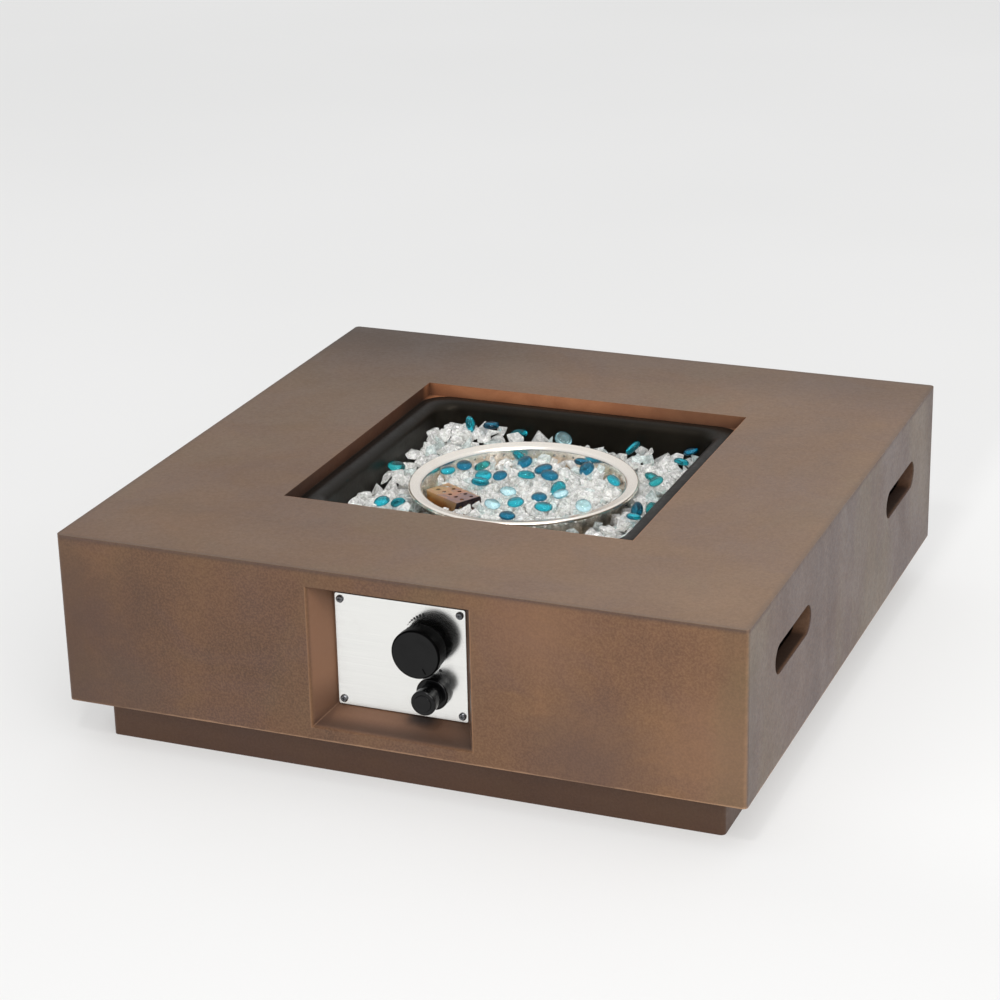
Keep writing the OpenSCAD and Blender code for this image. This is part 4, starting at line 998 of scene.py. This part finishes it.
def floor():
    m = Mat("pale_floor")
    cloud = m.noise(0.6, 3, 0.5)
    x, y, _ = m.axes()
    under = m.span(m.math("MAXIMUM", m.math("ABSOLUTE", x), m.math("ABSOLUTE", y)), 0.312, 0.322, 1, 0)
    base = m.mix(m.span(cloud, 0.3, 0.7, 0, 1), (0.36, 0.36, 0.355), (0.39, 0.388, 0.384))
    base = m.mix(under, base, (0.05, 0.045, 0.04))
    m.set(Base_Color=base, Roughness=0.8, Normal=m.bump(m.noise(300, 2), 0.0002, 0.1))
    m.bsdf.inputs["Specular IOR Level"].default_value = 0.1
    # a back-lit sweep, which keeps the shadows pale; it is dark under the table; beside the table's right side a
    # painted pool of light lifts the shadow
    m.bsdf.inputs["Emission Color"].default_value = (1, 0.995, 0.985, 1)
    m.set(Emission_Strength=m.math("MULTIPLY", m.math("SUBTRACT", 1.0, under), m.math("ADD", m.span(y, -1.2, 1.6, 0.463, 0.455), m.math("MULTIPLY", m.math("MULTIPLY", m.span(x, 0.32, 0.38, 0, 0.062), m.span(x, 0.6, 1.0, 1, 0)), m.span(y, -0.42, -0.2, 0, 1)))))
    bm = bmesh.new()
    bmesh.ops.create_grid(bm, x_segments=8, y_segments=8, size=12)
    mesh = to_mesh("floor", bm)
    mesh.materials.append(m.mat)
    o = bpy.data.objects.new("floor", mesh)
    scene.collection.objects.link(o)


floor()


def area(name, place, target, size, power, color=(1, 1, 1)):
    light = bpy.data.lights.new(name, "AREA")
    light.shape = "RECTANGLE"
    light.size, light.size_y = size
    light.energy = power
    light.color = color
    o = bpy.data.objects.new(name, light)
    scene.collection.objects.link(o)
    o.location = place
    o.rotation_euler = (Vector(target) - Vector(place)).to_track_quat("-Z", "Y").to_euler()
    return o


world = bpy.data.worlds.new("studio")
scene.world = world
world.use_nodes = True
back = world.node_tree.nodes["Background"]
back.inputs["Color"].default_value = (0.97, 0.98, 1.0, 1)
# brighter overhead than at the horizon
sky = world.node_tree.nodes.new("ShaderNodeTexCoord")
split = world.node_tree.nodes.new("ShaderNodeSeparateXYZ")
rise = world.node_tree.nodes.new("ShaderNodeMapRange")
for k, v in (("From Min", 0.0), ("From Max", 0.9), ("To Min", 0.6), ("To Max", 0.88)):
    rise.inputs[k].default_value = v
world.node_tree.links.new(sky.outputs["Generated"], split.inputs[0])
world.node_tree.links.new(split.outputs["Z"], rise.inputs["Value"])
world.node_tree.links.new(rise.outputs["Result"], back.inputs["Strength"])
area("key", (2.0, -2.5, 2.1), (0, 0, 0.1), (1.6, 1.6), 36, (1, 0.985, 0.96))
area("top", (0.9, -0.6, 3.6), (0.1, -0.1, 0.1), (2.6, 2.2), 20)
area("spark", (0.35, -1.9, 2.5), (0, -0.1, 0.15), (0.3, 0.3), 17)

cam = bpy.data.cameras.new("photo_camera")
cam.sensor_width = 36.0
cam.lens = 2682.83 / 1000 * 36.0
cam.clip_start, cam.clip_end = 0.05, 100
yaw, pitch, roll = -0.3894, 0.3712, -0.0229
fwd = Vector((math.sin(yaw) * math.cos(pitch), math.cos(yaw) * math.cos(pitch), -math.sin(pitch)))
right = Vector((math.cos(yaw), -math.sin(yaw), 0))
up = right.cross(fwd)
right, up = math.cos(roll) * right + math.sin(roll) * up, -math.sin(roll) * right + math.cos(roll) * up
view = bpy.data.objects.new("photo_camera", cam)
scene.collection.objects.link(view)
view.matrix_world = Matrix((
    (right.x, up.x, -fwd.x, 0.9814814),
    (right.y, up.y, -fwd.y, -2.4584338),
    (right.z, up.z, -fwd.z, 1.2072704),
    (0, 0, 0, 1),
))
scene.camera = view
scene.view_settings.view_transform = "Standard"
scene.view_settings.look = "None"
scene.cycles.use_denoising = True
scene.cycles.max_bounces = 28
scene.cycles.transmission_bounces = 28
scene.cycles.transparent_max_bounces = 12
